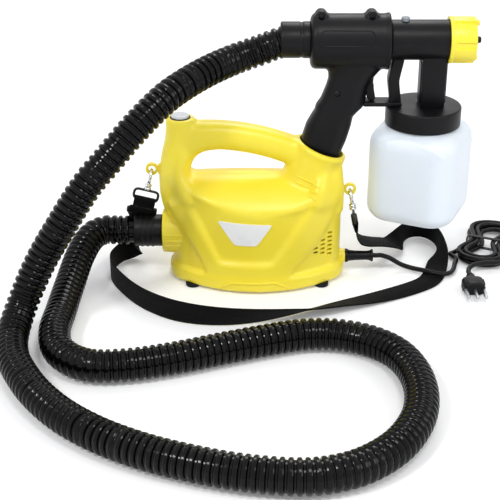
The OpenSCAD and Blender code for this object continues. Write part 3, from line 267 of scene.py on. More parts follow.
def piece(name, bm, body, material, sharp=35):
    """Make the object, give it its finish and let it ride on its body."""
    outward(bm)
    mesh = bpy.data.meshes.new(name)
    bm.to_mesh(mesh)
    bm.free()
    mesh.materials.append(material)
    mesh.shade_smooth()
    mesh.set_sharp_from_angle(angle=radians(sharp))
    obj = bpy.data.objects.new(name, mesh)
    scene.collection.objects.link(obj)
    if body:
        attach(obj, body)
    print(f"{name}: {len(mesh.polygons)} faces on {body}")
    return obj


# %% [markdown]
# ## Finishes
# Each finish is named for the real material and for how its surface was made.
# Colours are typed as sRGB hex values and turned to linear by one function.


# %% Colour and node helpers
def linear(code):
    """A hex colour as linear red, green, blue and alpha."""
    parts = [int(code[i:i + 2], 16) / 255 for i in (1, 3, 5)]
    return tuple(c / 12.92 if c < 0.04045 else ((c + 0.055) / 1.055) ** 2.4 for c in parts) + (1.0,)


def add_node(tree, kind, settings=None, links=None):
    """Add one node, set its properties or sockets and link its inputs."""
    node = tree.nodes.new(kind)
    for key, value in (settings or {}).items():
        if isinstance(key, str) and hasattr(node, key):
            setattr(node, key, value)
        else:
            node.inputs[key].default_value = value
    for key, source in (links or {}).items():
        tree.links.new(source, node.inputs[key])
    return node


def start_material(name, settings):
    """An empty material with one shader and Object coordinates."""
    material = bpy.data.materials.new(name)
    material.use_nodes = True
    tree = material.node_tree
    tree.nodes.clear()
    shader = add_node(tree, "ShaderNodeBsdfPrincipled", settings)
    add_node(tree, "ShaderNodeOutputMaterial", links={"Surface": shader.outputs["BSDF"]})
    place = add_node(tree, "ShaderNodeTexCoord").outputs["Object"]
    return material, tree, shader, place


def grained(name, dark, light, rough, grain_mm, depth_mm, patch_mm=30, **settings):
    """Moulded, cast or turned stock: slow colour patches, uneven gloss and a fine grain."""
    material, tree, shader, place = start_material(name, settings)
    patches = add_node(tree, "ShaderNodeTexNoise", {"Scale": 1000 / patch_mm, "Detail": 4.0}, {"Vector": place})
    colour = add_node(tree, "ShaderNodeMix", {"data_type": "RGBA", 6: linear(dark), 7: linear(light)},
                      {0: patches.outputs["Fac"]})
    gloss = add_node(tree, "ShaderNodeMapRange", {"To Min": rough[0], "To Max": rough[1]},
                     {"Value": patches.outputs["Fac"]})
    grain = add_node(tree, "ShaderNodeTexNoise", {"Scale": 1000 / grain_mm, "Detail": 3.0}, {"Vector": place})
    bump = add_node(tree, "ShaderNodeBump", {"Strength": 1.0, "Distance": depth_mm * MM},
                    {"Height": grain.outputs["Fac"]})
    tree.links.new(colour.outputs[2], shader.inputs["Base Color"])
    tree.links.new(gloss.outputs["Result"], shader.inputs["Roughness"])
    tree.links.new(bump.outputs["Normal"], shader.inputs["Normal"])
    return material


# %% [markdown]
# ABS plastic is the shell of most power tools. The yellow shells come out of a
# finely eroded mould, so they are satin, and the black gun is a little coarser.
# Deep pores swallow part of the mirror light, so the black pieces get a lower
# specular level and stay black on a white floor.

# %% Plastics and rubber
PORES = {"Specular IOR Level": 0.17}
yellow_abs = grained("yellow_abs_moulded", "#f7df2c", "#fbea48", (0.30, 0.42), 0.9, 0.012, 45, IOR=1.53)
black_abs = grained("black_abs_moulded", "#09090b", "#101013", (0.32, 0.46), 0.8, 0.02, 20, IOR=1.53, **PORES)
hose_pvc = grained("black_pvc_corrugated", "#040405", "#08080a", (0.10, 0.18), 2.5, 0.02, 15, IOR=1.54,
                   **{"Specular IOR Level": 0.15})
lead_pvc = grained("black_pvc_extruded", "#070709", "#0f0f12", (0.28, 0.40), 1.2, 0.02, 12, IOR=1.54, **PORES)
foot_rubber = grained("black_rubber_moulded", "#131314", "#1c1c1d", (0.70, 0.85), 0.8, 0.03, 10, IOR=1.52, **PORES)
grey_abs = grained("grey_abs_moulded", "#80858c", "#90959b", (0.34, 0.46), 0.8, 0.01, 10, IOR=1.53)
white_film = grained("white_vinyl_film", "#f1f3f4", "#fafbfb", (0.24, 0.32), 1.0, 0.004, 20, IOR=1.5)
silver_button = grained("silver_abs_moulded", "#c9ced0", "#e4e7e8", (0.18, 0.28), 0.8, 0.006, 8, IOR=1.53)
bottle_hdpe = grained("milky_hdpe_blown", "#dfe8f2", "#e9f0f7", (0.34, 0.46), 1.6, 0.015, 60, IOR=1.54,
                      **{"Subsurface Weight": 0.35, "Subsurface Scale": 0.006,
                         "Subsurface Radius": (1.0, 1.0, 1.1)})
tube_ldpe = grained("natural_ldpe_extruded", "#d5d7d4", "#e2e3e0", (0.3, 0.4), 1.0, 0.01, 10, IOR=1.51)
foam = grained("grey_polyurethane_foam", "#26292c", "#3b3f43", (0.85, 0.95), 1.4, 0.5, 5, IOR=1.45)
carbon = grained("pressed_carbon", "#1b1b1b", "#2a2a2a", (0.5, 0.6), 0.5, 0.01, 3, IOR=1.8)
nylon_white = grained("white_nylon_moulded", "#c8c8c2", "#d8d8d2", (0.4, 0.5), 0.8, 0.01, 15, IOR=1.53)
print("plastics done")

# %% [markdown]
# Metals: the strap's hooks are chrome plated, pins and shafts are drawn steel,
# and the motor holds brass, copper and varnished iron.

# %% Metals
chrome = grained("chrome_plated_steel", "#d9dcdf", "#eceef0", (0.06, 0.14), 1.5, 0.003, 6, Metallic=1.0)
steel = grained("drawn_steel", "#a9acb0", "#c4c7ca", (0.24, 0.36), 0.6, 0.006, 4, Metallic=1.0)
brass = grained("turned_brass", "#b8903f", "#cda651", (0.22, 0.34), 0.6, 0.004, 4, Metallic=1.0)
copper = grained("turned_copper", "#b06a3c", "#c47e4e", (0.25, 0.35), 0.6, 0.004, 4, Metallic=1.0)
zinc = grained("zinc_plated_sheet", "#8b8f94", "#a4a8ac", (0.32, 0.44), 1.2, 0.01, 8, Metallic=1.0)
lacquer = grained("black_lacquered_steel", "#0c0c0e", "#161618", (0.22, 0.32), 0.8, 0.006, 6, IOR=1.5)
blacked = grained("black_oxide_steel", "#2b2b2e", "#3a3a3e", (0.32, 0.44), 0.6, 0.006, 4, Metallic=1.0)
iron = grained("varnished_iron_sheet", "#4a3a2e", "#5c4838", (0.35, 0.5), 0.7, 0.02, 5, Metallic=0.6)
print("metals done")

# %% [markdown]
# Webbing is woven from thick polypropylene yarn in a slanted twill. The pattern
# follows the strap, so it reads two numbers kept on the mesh: the distance along
# the strap and across it. The yarn is drawn 2.2 mm wide, coarser than the real
# 1.2 mm, so that it still shows in the picture.

# %% Webbing
webbing, tree, shader, place = start_material(
    "black_polypropylene_webbing", {"IOR": 1.49, "Specular IOR Level": 0.08, "Sheen Weight": 0.02, "Sheen Roughness": 0.5})
YARN = 0.0022
run = add_node(tree, "ShaderNodeAttribute", {"attribute_name": "along"}).outputs["Fac"]
across = add_node(tree, "ShaderNodeAttribute", {"attribute_name": "across"}).outputs["Fac"]
slant = add_node(tree, "ShaderNodeMath", {"operation": "ABSOLUTE"}, {0: across})
lean = add_node(tree, "ShaderNodeMath", {"operation": "ADD"}, {0: run, 1: slant.outputs[0]})
turns = add_node(tree, "ShaderNodeMath", {"operation": "MULTIPLY", 1: 2 * pi / YARN}, {0: lean.outputs[0]})
wave = add_node(tree, "ShaderNodeMath", {"operation": "SINE"}, {0: turns.outputs[0]})
ribs = add_node(tree, "ShaderNodeMath", {"operation": "MULTIPLY", 1: 2 * pi / YARN}, {0: across})
cross_wave = add_node(tree, "ShaderNodeMath", {"operation": "COSINE"}, {0: ribs.outputs[0]})
weave = add_node(tree, "ShaderNodeMath", {"operation": "MULTIPLY_ADD", 1: 0.5, 2: 0.5}, {0: wave.outputs[0]})
height = add_node(tree, "ShaderNodeMath", {"operation": "MULTIPLY_ADD", 1: 0.3},
                  {0: cross_wave.outputs[0], 2: weave.outputs[0]})
fuzz = add_node(tree, "ShaderNodeTexNoise", {"Scale": 900.0, "Detail": 3.0}, {"Vector": place})
tone = add_node(tree, "ShaderNodeMath", {"operation": "MULTIPLY"}, {0: weave.outputs[0], 1: fuzz.outputs["Fac"]})
colour = add_node(tree, "ShaderNodeMix", {"data_type": "RGBA", 6: linear("#040405"), 7: linear("#131315")},
                  {0: tone.outputs[0]})
rough = add_node(tree, "ShaderNodeMapRange", {"To Min": 0.6, "To Max": 0.8}, {"Value": fuzz.outputs["Fac"]})
bump = add_node(tree, "ShaderNodeBump", {"Strength": 0.8, "Distance": 0.0004}, {"Height": height.outputs[0]})
tree.links.new(colour.outputs[2], shader.inputs["Base Color"])
tree.links.new(rough.outputs["Result"], shader.inputs["Roughness"])
tree.links.new(bump.outputs["Normal"], shader.inputs["Normal"])
thread = grained("black_polyester_thread", "#1c1c1e", "#2a2a2c", (0.5, 0.6), 0.4, 0.05, 3, IOR=1.5)
print("webbing yarn:", YARN * 1000, "mm")

# %% [markdown]
# ## Air hose
# The hose is blown PVC with a rib every seven and a half millimetres. It leaves the blower at
# the left, lies on the floor in a long loop and climbs to the back of the gun.
# It is one sweep of a circle whose size steps out at each rib and in again.

# %% Air hose
hose_points = [
    (38, 0, 273), (29, 0, 271.4), (18, 0, 267.8), (5, 0, 262.6), (-12, -2, 257), (-30, -10, 252.5), (-53, -29, 247.5),
    (-76, -51, 240.5), (-97, -71, 230.5), (-124, -92, 208.5), (-148, -108, 184), (-172, -120, 158), (-197, -129, 121), (-222, -137, 80), (-240, -152, 42),
    (-247, -180, 21), (-242, -212, 17), (-231, -240, 17), (-209, -279, 17), (-180, -315, 17), (-145, -345, 17),
    (-107, -368, 17), (-68, -385, 17), (-20, -400, 17), (27, -407, 17), (60, -404, 17), (92, -390, 17),
    (122, -362, 17), (143, -324, 17), (152, -284, 17), (150, -244, 17), (137, -209, 17), (112, -185, 17),
    (80, -173, 17), (45, -173, 17), (5, -185, 17), (-38, -201, 17), (-85, -219, 17), (-130, -231, 17),
    (-168, -230, 17), (-196, -206, 17), (-207, -168, 17), (-206, -124, 19), (-202, -80, 27), (-196, -40, 39),
    (-186, -12, 49), (-172, 0, 52), (-155, 0, 52), (-138, 0, 52)]
HOSE_R, RIB_DEPTH, RIB_PITCH, HOSE_END = 16.5, 2.4, 7.5, 2
hose_path = smooth_route(hose_points, 16)
hose_length = length_of(hose_path)
rib_count = int((hose_length - 2 * HOSE_END) / RIB_PITCH)
rib_start = (hose_length - rib_count * RIB_PITCH) / 2
rib_shape = [(0.0, 0.0), (0.20, 0.0), (0.34, 0.8), (0.46, 1.0), (0.74, 1.0), (0.86, 0.8)]
stops, sizes = [0.0], [HOSE_R - RIB_DEPTH]
for k in range(rib_count):
    for share, rise in rib_shape:
        stops.append(rib_start + (k + share) * RIB_PITCH)
        sizes.append(HOSE_R - RIB_DEPTH * (1 - rise))
stops += [rib_start + rib_count * RIB_PITCH, hose_length]
sizes += [HOSE_R - RIB_DEPTH] * 2
hose_line = spaced(hose_path, stops)
bm = bmesh.new()
sweep(bm, ring_outline(1, 24), frames_along(hose_line, sizes))
hose = piece("air_hose", bm, None, hose_pvc, 50)
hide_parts("hose")
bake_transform(hose, "blower", "gun", start=(0, 0, 0.09), end=(0, 0, 0.25))
print("hose:", round(hose_length), "mm with", rib_count, "ribs")

# %% [markdown]
# ## Mains lead
# The lead is a round PVC cord. It leaves the strain relief, crosses the strap and
# runs into a tied hank: loops that wind inwards in a lower layer and outwards in
# an upper one. The plug hangs on the last loop.

# %% Lead and hank
LEAD_D = 5.5
lead_points = [(132, 0, 20), (137, 0, 20), (142, 0, 20), (152, 1, 16), (165, 2, 7.5), (178, -1, 4.2), (190, -10, 5.8),
               (201, -18, 6.6), (212, -19, 5.8), (220, -13, 4.6), (225, -3, 4.25), (228.3, 9, 4.25), (231.8, 22, 4.25)]
HANK_LOOPS, HANK_STEP, HANK_LOW = 6, LEAD_D + 0.9, LEAD_D / 2 + 1.5
HANK_FIRST, HANK_LAST = 2 / 3, 0.583
plug_neck = Vector((240, -26, 7.6))


def hank_half_width(s, grow):
    return 24 - 19 * s ** 4 + (1.6 - 0.5 * s ** 8) * grow


def hank_point(turn):
    a = radians(-360 * turn)
    grow = abs(turn - HANK_LOOPS / 2) * HANK_STEP
    u = min(max((turn - HANK_LOOPS / 2) / 0.5 + 0.5, 0), 1)
    x, y = (42 + grow) * cos(a), hank_half_width(sin(a), grow) * sin(a)
    c, s = cos(radians(66)), sin(radians(66))
    return Vector((274 + x * c - y * s, 56 + x * s + y * c, HANK_LOW + u * u * (3 - 2 * u) * HANK_STEP))


hank_turns = HANK_LOOPS - HANK_FIRST - HANK_LAST
hank_steps = int(hank_turns * 48)
loops = [hank_point(HANK_FIRST + hank_turns * k / hank_steps) for k in range(hank_steps + 1)]
enter = (loops[0] - loops[1]).normalized()
lead_in = smooth_route(lead_points + [loops[0] + 2 * LEAD_D * enter, loops[0] + LEAD_D * enter, loops[0]], 6)
tail = smooth_route([loops[-3], loops[-1], (262, -0.5, 10.6), (250, -3, 10), (242.5, -9, 9),
                     plug_neck + Vector((0, 2 * LEAD_D, 0)), plug_neck + Vector((0, LEAD_D, 0)), plug_neck], 6)[6:]
lead_path = lead_in[:-1] + loops[:-1] + tail
bm = bmesh.new()
sweep(bm, ring_outline(LEAD_D / 2, 12), frames_along(lead_path))
lead = piece("mains_lead_and_hank", bm, "blower", lead_pvc)
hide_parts("mains_lead", "lead_hank")
print("lead:", round(length_of(lead_path)), "mm")

# %% [markdown]
# The plug is moulded onto the lead: a rounded block with finger ribs, a tapered
# neck and three round pins in line. A soft band holds the hank at its waist.

# %% Plug and tie
bm = bmesh.new()
plug_place = Matrix.Translation(plug_neck * MM) @ FRONT
slab(bm, eased([(-12, -7.5), (12, -7.5), (12, 7.5), (-12, 7.5)], 6), plug_place @ Matrix.Translation((0, 0, 0.014)),
     20, 2.2)
lathe(bm, [(0, 0), (4.2, 0), (4.2, 2), (5, 3), (4.4, 4), (5.2, 5), (4.6, 6), (5.6, 8), (6.6, 15), (0, 15)],
      plug_place, 32, 0.5)
for k in range(4):
    for side in (-1, 1):
        slab(bm, eased([(-0.8, -5), (0.8, -5), (0.8, 5), (-0.8, 5)], 0.7),
             plug_place @ Matrix.Translation((side * 0.0117, 0, (18 + 3 * k) * MM)) @ Matrix.Rotation(pi / 2, 4, "Y")
             @ Matrix.Translation((0, 0, -0.0006)), 1.2, 0.3)
plug = piece("mains_plug", bm, "blower", black_abs)
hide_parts("plug_body")
bm = bmesh.new()
for k in (-1, 0, 1):
    lathe(bm, [(0, 33), (2, 33), (2, 52), (1.3, 53), (0, 53)],
          plug_place @ Matrix.Translation((9.5 * k * MM, 0, 0)), 24, 0.3)
pins = piece("plug_pins_round", bm, "blower", steel)
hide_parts("plug_pins")
tie_half = hank_half_width(1, (HANK_LOOPS / 2 - HANK_FIRST) * HANK_STEP) + LEAD_D / 2 + 0.6
tie_top = HANK_LOW + HANK_STEP + LEAD_D / 2 + 0.9
tie_path = [Vector((0, p[0], p[1])) for p in
            eased([(-tie_half, 0.6), (tie_half, 0.6), (tie_half, tie_top), (-tie_half, tie_top)], 4)]
tie_turn = Matrix.Translation((0.274, 0.056, 0)) @ Matrix.Rotation(radians(66), 4, "Z")
bm = bmesh.new()
closed_wire(bm, eased([(-0.6, -2.5), (0.6, -2.5), (0.6, 2.5), (-0.6, 2.5)], 0.4), tie_path,
            wide=[Vector((0, a.z - b.z, b.y - a.y)) for a, b in
                  zip(tie_path[1:] + tie_path[:1], tie_path[-1:] + tie_path[:-1])])
bmesh.ops.transform(bm, matrix=tie_turn, verts=bm.verts)
tie = piece("hank_band", bm, "blower", lead_pvc)
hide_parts("hank_tie")

# %% [markdown]
# ## Shoulder strap
# The strap is flat webbing that lies on the floor round the blower, mostly on its
# edge. Each point of its route has a place and the direction of its width, so the
# strap can turn from its edge to its flat side. Its left end is folded and sewn
# into a thick pad above the hose cuff, so the section swells there.

# %% Shoulder strap
STRAP_W, STRAP_T, LOOP_END = 25, 1.8, 48.7
lugs = {"left": (-116, 127, radians(14)), "right": (103, 103, radians(-10))}


def at_lug(side):
    """Frame of a hook: its zero is in the lug's hole, leaning as the hook does."""
    x, z, lean = lugs[side]
    return Matrix.Translation(Vector((x, 0, z)) * MM) @ Matrix.Rotation(lean, 4, "Y")


def loop_foot(side, drop):
    return (at_lug(side) @ Vector((0, 0, -(LOOP_END + drop) * MM))) / MM


left_wide = (cos(lugs["left"][2]), 0, -sin(lugs["left"][2]))
strap_route = [(loop_foot("left", d), left_wide) for d in (0.05, 1.2, 2.4)] + [
    ((-129.6, 3, 74.4), (1, 0, -0.2)), ((-130.2, 10, 72.4), (1, 0, -0.1)), ((-130.6, 18, 66), (1, 0, 0)),
    ((-131, 22.6, 56), (1, 0, 0)), ((-131.3, 24.6, 45), (1, 0, 0.1)), ((-133, 26.5, 33), (0.9, 0, 0.35)),
    ((-138, 29, 22), (0.6, 0.1, 0.75)), ((-146, 29, 13.9), (0.2, 0, 1)), ((-156, 22, 13.4), (0, 0, 1)),
    ((-163, 8, 13.4), (0, 0, 1)), ((-166, -8, 13.4), (0, 0, 1)), ((-162, -30, 13.4), (0, 0, 1)),
    ((-149, -55, 13.4), (0, 0, 1)), ((-132, -80, 13.4), (0, 0, 1)), ((-112, -100, 13.4), (0, 0, 1)),
    ((-88, -116, 13.4), (0, 0, 1)), ((-60, -126, 13.5), (0, -0.12, 1)), ((-30, -129, 13.1), (0, -0.3, 1)),
    ((0, -126, 12.3), (0.05, -0.5, 0.9)), ((30, -117, 10.5), (0.2, -0.7, 0.75)), ((60, -104, 7.8), (0.3, -0.85, 0.5)),
    ((92, -88, 5.6), (0.42, -0.9, 0.3)), ((124, -72, 3), (0.45, -0.9, 0.1)), ((154, -56, 1.8), (0.48, -0.87, 0)),
    ((180, -40, 1.8), (0.55, -0.83, 0)), ((194, -27, 1.8), (0.66, -0.75, 0)), ((202, -11, 1.8), (0.82, -0.57, 0)),
    ((207, 5, 3.7), (0.96, -0.25, 0.15)), ((211.5, 21, 9.4), (0.78, 0, 0.62)), ((214.5, 39, 13), (0.31, 0.1, 0.94)),
    ((215, 58, 13.4), (0, 0, 1)), ((211, 76, 13.4), (0, 0, 1)), ((201, 87, 13.4), (0, 0, 1)),
    ((188, 87, 13.4), (0, 0, 1)), ((178, 77, 13.4), (0, 0, 1)), ((171, 63, 13.2), (-0.25, 0.12, 0.96)),
    ((165, 51, 12.4), (-0.62, 0.31, 0.72)), ((158.5, 40.5, 15.5), (-0.78, 0.53, 0.33)),
    ((149, 31.5, 21), (-0.5, 0.86, 0.08)), ((136.5, 23.5, 26), (-0.33, 0.94, 0)), ((125, 14, 32), (-0.2, 0.98, 0)),
    ((117.5, 6, 39), (-0.1, 1, 0)), ((114, 1.5, 45.5), (0, 1, 0))] + [
    (loop_foot("right", d), (0, 1, 0)) for d in (5.4, 1.8, 0.05)]
strap_path = smooth_route([p for p, w in strap_route], 6)
strap_wide = smooth_route([w for p, w in strap_route], 6)
strap_run = [length_of(strap_path[:k + 1]) for k in range(len(strap_path))]
swell = [min(1, 0.3 + run / 14) * max(0, 1 - (run / 62) ** 2) ** 2 for run in strap_run]
bm = bmesh.new()
sweep(bm, eased([(-STRAP_W / 2, -STRAP_T / 2), (STRAP_W / 2, -STRAP_T / 2), (STRAP_W / 2, STRAP_T / 2),
                 (-STRAP_W / 2, STRAP_T / 2)], 0.6),
      [m @ Matrix.Diagonal((1 + 0.38 * k, 1 + 3 * k, 1, 1))
       for m, k in zip(frames_along(strap_path, wide=strap_wide), swell)], strap_run)
strap = piece("shoulder_strap_webbing", bm, "blower", webbing, 50)
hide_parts("shoulder_strap")
print("strap:", round(strap_run[-1]), "mm")

# %% [markdown]
# Each end of the strap is turned back round a lacquered ring and sewn in a box with
# a cross. The ring hangs in a swivel below a chrome spring hook, and the hook's gate
# closes the gap in its wire.

# %% Strap ends, rings and hooks
HOOK_R, HOOK_DROP, HOOK_WIRE, RING_WIRE = 7.5, 1.2, 4, 3
SWIVEL_LOW = -HOOK_DROP - 2 * HOOK_R - 9
RING_TOP, RING_LOW, RING_HALF = SWIVEL_LOW - 1.7, SWIVEL_LOW - 13.5, 13.5


def arc_path(r, start, stop, count):
    """Points of an arc in the (y, z) plane round the hook's middle."""
    angles = [radians(start + (stop - start) * k / count) for k in range(count + 1)]
    return [Vector((0, r * cos(a), -HOOK_DROP - HOOK_R + r * sin(a))) for a in angles]


for side in ("left", "right"):
    stand = at_lug(side)
    ring_turn = stand @ Matrix.Rotation(pi / 2 if side == "right" else 0, 4, "Z")
    bm = bmesh.new()
    sweep(bm, ring_outline(HOOK_WIRE / 2, 16), frames_along(arc_path(HOOK_R, 20, 300, 40)))
    lathe(bm, [(0, SWIVEL_LOW + 10.5), (1.9, SWIVEL_LOW + 10.5), (2.4, SWIVEL_LOW + 7), (4, SWIVEL_LOW + 6),
               (4, SWIVEL_LOW + 4), (3.4, SWIVEL_LOW + 3.4), (3.4, SWIVEL_LOW + 2.6), (4, SWIVEL_LOW + 2),
               (4, SWIVEL_LOW), (0, SWIVEL_LOW)], Matrix.Identity(4), 32, 0.5)
    bmesh.ops.transform(bm, matrix=stand, verts=bm.verts)
    hook = piece("spring_hook_" + side, bm, "hook_" + side, chrome, 40)
    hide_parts("hook_" + side)
    bm = bmesh.new()
    sweep(bm, ring_outline(1.5, 12), frames_along(arc_path(HOOK_R, 314, 371, 16)))
    hinge = arc_path(HOOK_R, 314, 314, 1)[0]
    lathe(bm, [(0, -2), (1.6, -2), (1.6, 2), (0, 2)], axis_x(0, hinge.z, hinge.y), 24, 0.3)
    bmesh.ops.transform(bm, matrix=stand, verts=bm.verts)
    gate = piece("hook_gate_" + side, bm, "gate_" + side, chrome, 40)
    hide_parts("gate_" + side)
    corners = [(-RING_HALF, RING_LOW), (RING_HALF, RING_LOW), (RING_HALF, RING_TOP), (-RING_HALF, RING_TOP)]
    bm = bmesh.new()
    closed_wire(bm, ring_outline(RING_WIRE / 2, 12),
                [Vector((p[0], 0, p[1])) for p in eased([Vector(p) for p in eased(corners, 4)], 1.2)])
    bmesh.ops.transform(bm, matrix=ring_turn, verts=bm.verts)
    ring = piece("strap_ring_" + side, bm, "strap_end_" + side, lacquer, 40)
    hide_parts("ring_" + side)
    turn_back = [Vector((0, 0.95, -LOOP_END))]
    turn_back += [Vector((0, 2.7 * cos(radians(a)), RING_LOW + 2.7 * sin(radians(a)))) for a in range(-30, 211, 20)]
    turn_back += [Vector((0, -0.95, -LOOP_END))]
    rounds = spaced(turn_back, [length_of(turn_back) * k / 60 for k in range(61)])
    bm = bmesh.new()
    sweep(bm, eased([(-12, -0.85), (12, -0.85), (12, 0.85), (-12, 0.85)], 0.5),
          frames_along(rounds, wide=[Vector((1, 0, 0))] * 61), [length_of(rounds[:k + 1]) for k in range(61)])
    bmesh.ops.transform(bm, matrix=ring_turn, verts=bm.verts)
    loop = piece("strap_end_sewn_" + side, bm, "strap_end_" + side, webbing, 50)
    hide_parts("strap_loop_" + side)
    bm = bmesh.new()
    box = [(-10, -LOOP_END + 0.8), (10, -LOOP_END + 0.8), (10, -LOOP_END + 5.6), (-10, -LOOP_END + 5.6)]
    lines = list(zip(box, box[1:] + box[:1])) + [(box[0], box[2]), (box[1], box[3])]
    for a, b in lines:
        a, b = Vector(a), Vector(b)
        count = max(2, int((b - a).length / 2.2))
        for k in range(count):
            p, q = a.lerp(b, (k + 0.15) / count), a.lerp(b, (k + 0.85) / count)
            for y in (-1.85, 1.85):
                sweep(bm, ring_outline(0.28, 6), frames_along([Vector((p.x, y, p.y)), Vector((q.x, y, q.y))]))
    bmesh.ops.transform(bm, matrix=ring_turn, verts=bm.verts)
    piece("strap_stitches_" + side, bm, "strap_end_" + side, thread, 50)

# %% [markdown]
# ## Moulding a shell
# A blow or injection mould has no sharp meeting lines: handle, columns and belly
# flow into each other. We pile up simple overlapping solids, cast one skin over
# them with a voxel remesh, relax that skin so that the inner corners fill up, and
# then cut the holes. A cut at the parting plane gives the two halves.


# %% Moulding helpers
def evaluated(bm, name, add_modifier):
    """Put the mesh on a spare object, run one modifier and hand the result back."""
    mesh = bpy.data.meshes.new(name)
    bm.to_mesh(mesh)
    bm.free()
    spare = bpy.data.objects.new(name, mesh)
    scene.collection.objects.link(spare)
    add_modifier(spare)
    graph = bpy.context.evaluated_depsgraph_get()
    done = bpy.data.meshes.new_from_object(spare.evaluated_get(graph))
    out = bmesh.new()
    out.from_mesh(done)
    bpy.data.objects.remove(spare)
    bpy.data.meshes.remove(mesh)
    bpy.data.meshes.remove(done)
    return out


def skinned(parts, voxel, rounds):
    """One relaxed skin over all the parts."""
    def skin_over(spare):
        remesh = spare.modifiers.new("skin", "REMESH")
        remesh.mode = "VOXEL"
        remesh.voxel_size = voxel * MM

    bm = evaluated(parts, "form", skin_over)
    for _ in range(rounds):
        bmesh.ops.smooth_vert(bm, verts=bm.verts, factor=0.5, use_axis_x=True, use_axis_y=True, use_axis_z=True)
    return bm


def moulded(parts, cutters, voxel, rounds):
    """One relaxed skin over all the parts, with the cutters taken out of it."""
    bm = skinned(parts, voxel, rounds)
    outward(cutters)
    tool_mesh = bpy.data.meshes.new("cutters")
    cutters.to_mesh(tool_mesh)
    cutters.free()
    tool = bpy.data.objects.new("cutters", tool_mesh)
    scene.collection.objects.link(tool)

    def cut(spare):
        boolean = spare.modifiers.new("cut", "BOOLEAN")
        boolean.operation, boolean.solver, boolean.object = "DIFFERENCE", "EXACT", tool

    bm = evaluated(bm, "form", cut)
    bpy.data.objects.remove(tool)
    bpy.data.meshes.remove(tool_mesh)
    return bm


def halves(bm, seam):
    """Split at y = 0 and sink the rims a little, so that a parting line shows."""
    out = []
    for clear in ("clear_outer", "clear_inner"):
        part = bm.copy()
        bmesh.ops.bisect_plane(part, geom=part.verts[:] + part.edges[:] + part.faces[:], plane_co=(0, 0, 0),
                               plane_no=(0, 1, 0), dist=1e-6, **{clear: True})
        part.normal_update()
        rim = {v for e in part.edges if e.is_boundary for v in e.verts}
        for v in rim:
            inward = Vector((v.normal.x, 0, v.normal.z))
            v.co -= inward.normalized() * seam * MM
        out.append(part)
    bm.free()
    return out


def upright(bm, outline, levels):
    """Stack a flat outline through (height, x, y, scale x, scale y) levels, all in mm."""
    matrices = [Matrix.Translation(Vector((x, y, z)) * MM) @ Matrix.Diagonal((sx, sy, 1, 1))
                for z, x, y, sx, sy in levels]
    sweep(bm, outline, matrices)


def rounded_outline(w, h, r, steps=6):
    """A rectangle with round corners."""
    out = []
    for k, (sx, sy) in enumerate(((1, 1), (-1, 1), (-1, -1), (1, -1))):
        for i in range(steps + 1):
            a = pi / 2 * (k + i / steps)
            out.append(Vector((sx * (w / 2 - r) + r * cos(a), sy * (h / 2 - r) + r * sin(a))))
    return out


def surface_line(bm, tree, points, r, side=-1, sink=0):
    """A raised line of radius r that lies on a skin, or sinks into it, found by looking along Y."""
    path = []
    for x, z in points:
        hit, normal = tree.ray_cast(Vector((x * MM, side, z * MM)), Vector((0, -side, 0)))[:2]
        if hit:
            path.append(hit / MM - normal * sink)
    sweep(bm, ring_outline(r, 8), frames_along(path, [0.2] + [1] * (len(path) - 2) + [0.2]))


def straight(a, b, count):
    """Points of a straight line between two places."""
    a, b = Vector(a), Vector(b)
    return [a.lerp(b, k / count) for k in range(count + 1)]


# %% [markdown]
# ## Blower housing
# The base is an oval of four arcs. Above it the belly closes to a dome, and two
# raised arms run in a V from the columns to the bottom band. The left column
# carries the switch, the right one the holster, and the handle bridges them.


# %% Housing form
def oval_outline(l, w, r, steps=14):
    """An oval of four arcs: l long, w deep, with end radius r."""
    c, b = l / 2 - r, w / 2
    side_r = (c * c + b * b - r * r) / (2 * (b - r))
    meet = Vector((c, side_r - b)).angle(Vector((1, 0)))
    out = []
    for mid_x, mid_y, rad, start, stop in ((c, 0, r, -meet, meet), (0, b - side_r, side_r, meet, pi - meet),
                                           (-c, 0, r, pi - meet, pi + meet),
                                           (0, side_r - b, side_r, pi + meet, 2 * pi - meet)):
        for k in range(steps):
            a = start + (stop - start) * k / steps
            out.append(Vector((mid_x + rad * cos(a), mid_y + rad * sin(a))))
    return out


DOME_R, DOME_Z = 65, 55


def belly(bm, l, w, r):
    """The oval drawn up into a dome, with a front panel sunk below a soft crease."""
    heights = [3, 20, 40, 50] + [DOME_Z + DOME_R * sin(radians(a)) for a in range(2, 90, 2)]
    upright(bm, oval_outline(l, w, r, 30), [(z, 0, 0, 1, 1) for z in heights])
    for v in bm.verts:
        x, z = v.co.x / MM, v.co.z / MM
        crease = 95 + max(0, -11 - x) * 0.26 + max(0, x + 11) * 0.05
        t = min(1, max(0, (crease - z) / 8)) * (abs(x) < 80)
        lim = (max(0.01, DOME_R ** 2 - max(0, z - DOME_Z) ** 2)) ** 0.5
        deep = min(abs(v.co.y), lim * MM) - 3 * MM * t * t * (3 - 2 * t)
        v.co.y = max(0.2 * MM, deep) * (1 if v.co.y > 0 else -1)
        v.co.z += 3 * MM * max(0, 1 - ((x + 11) / 80) ** 2) * max(0, z - DOME_Z) / DOME_R


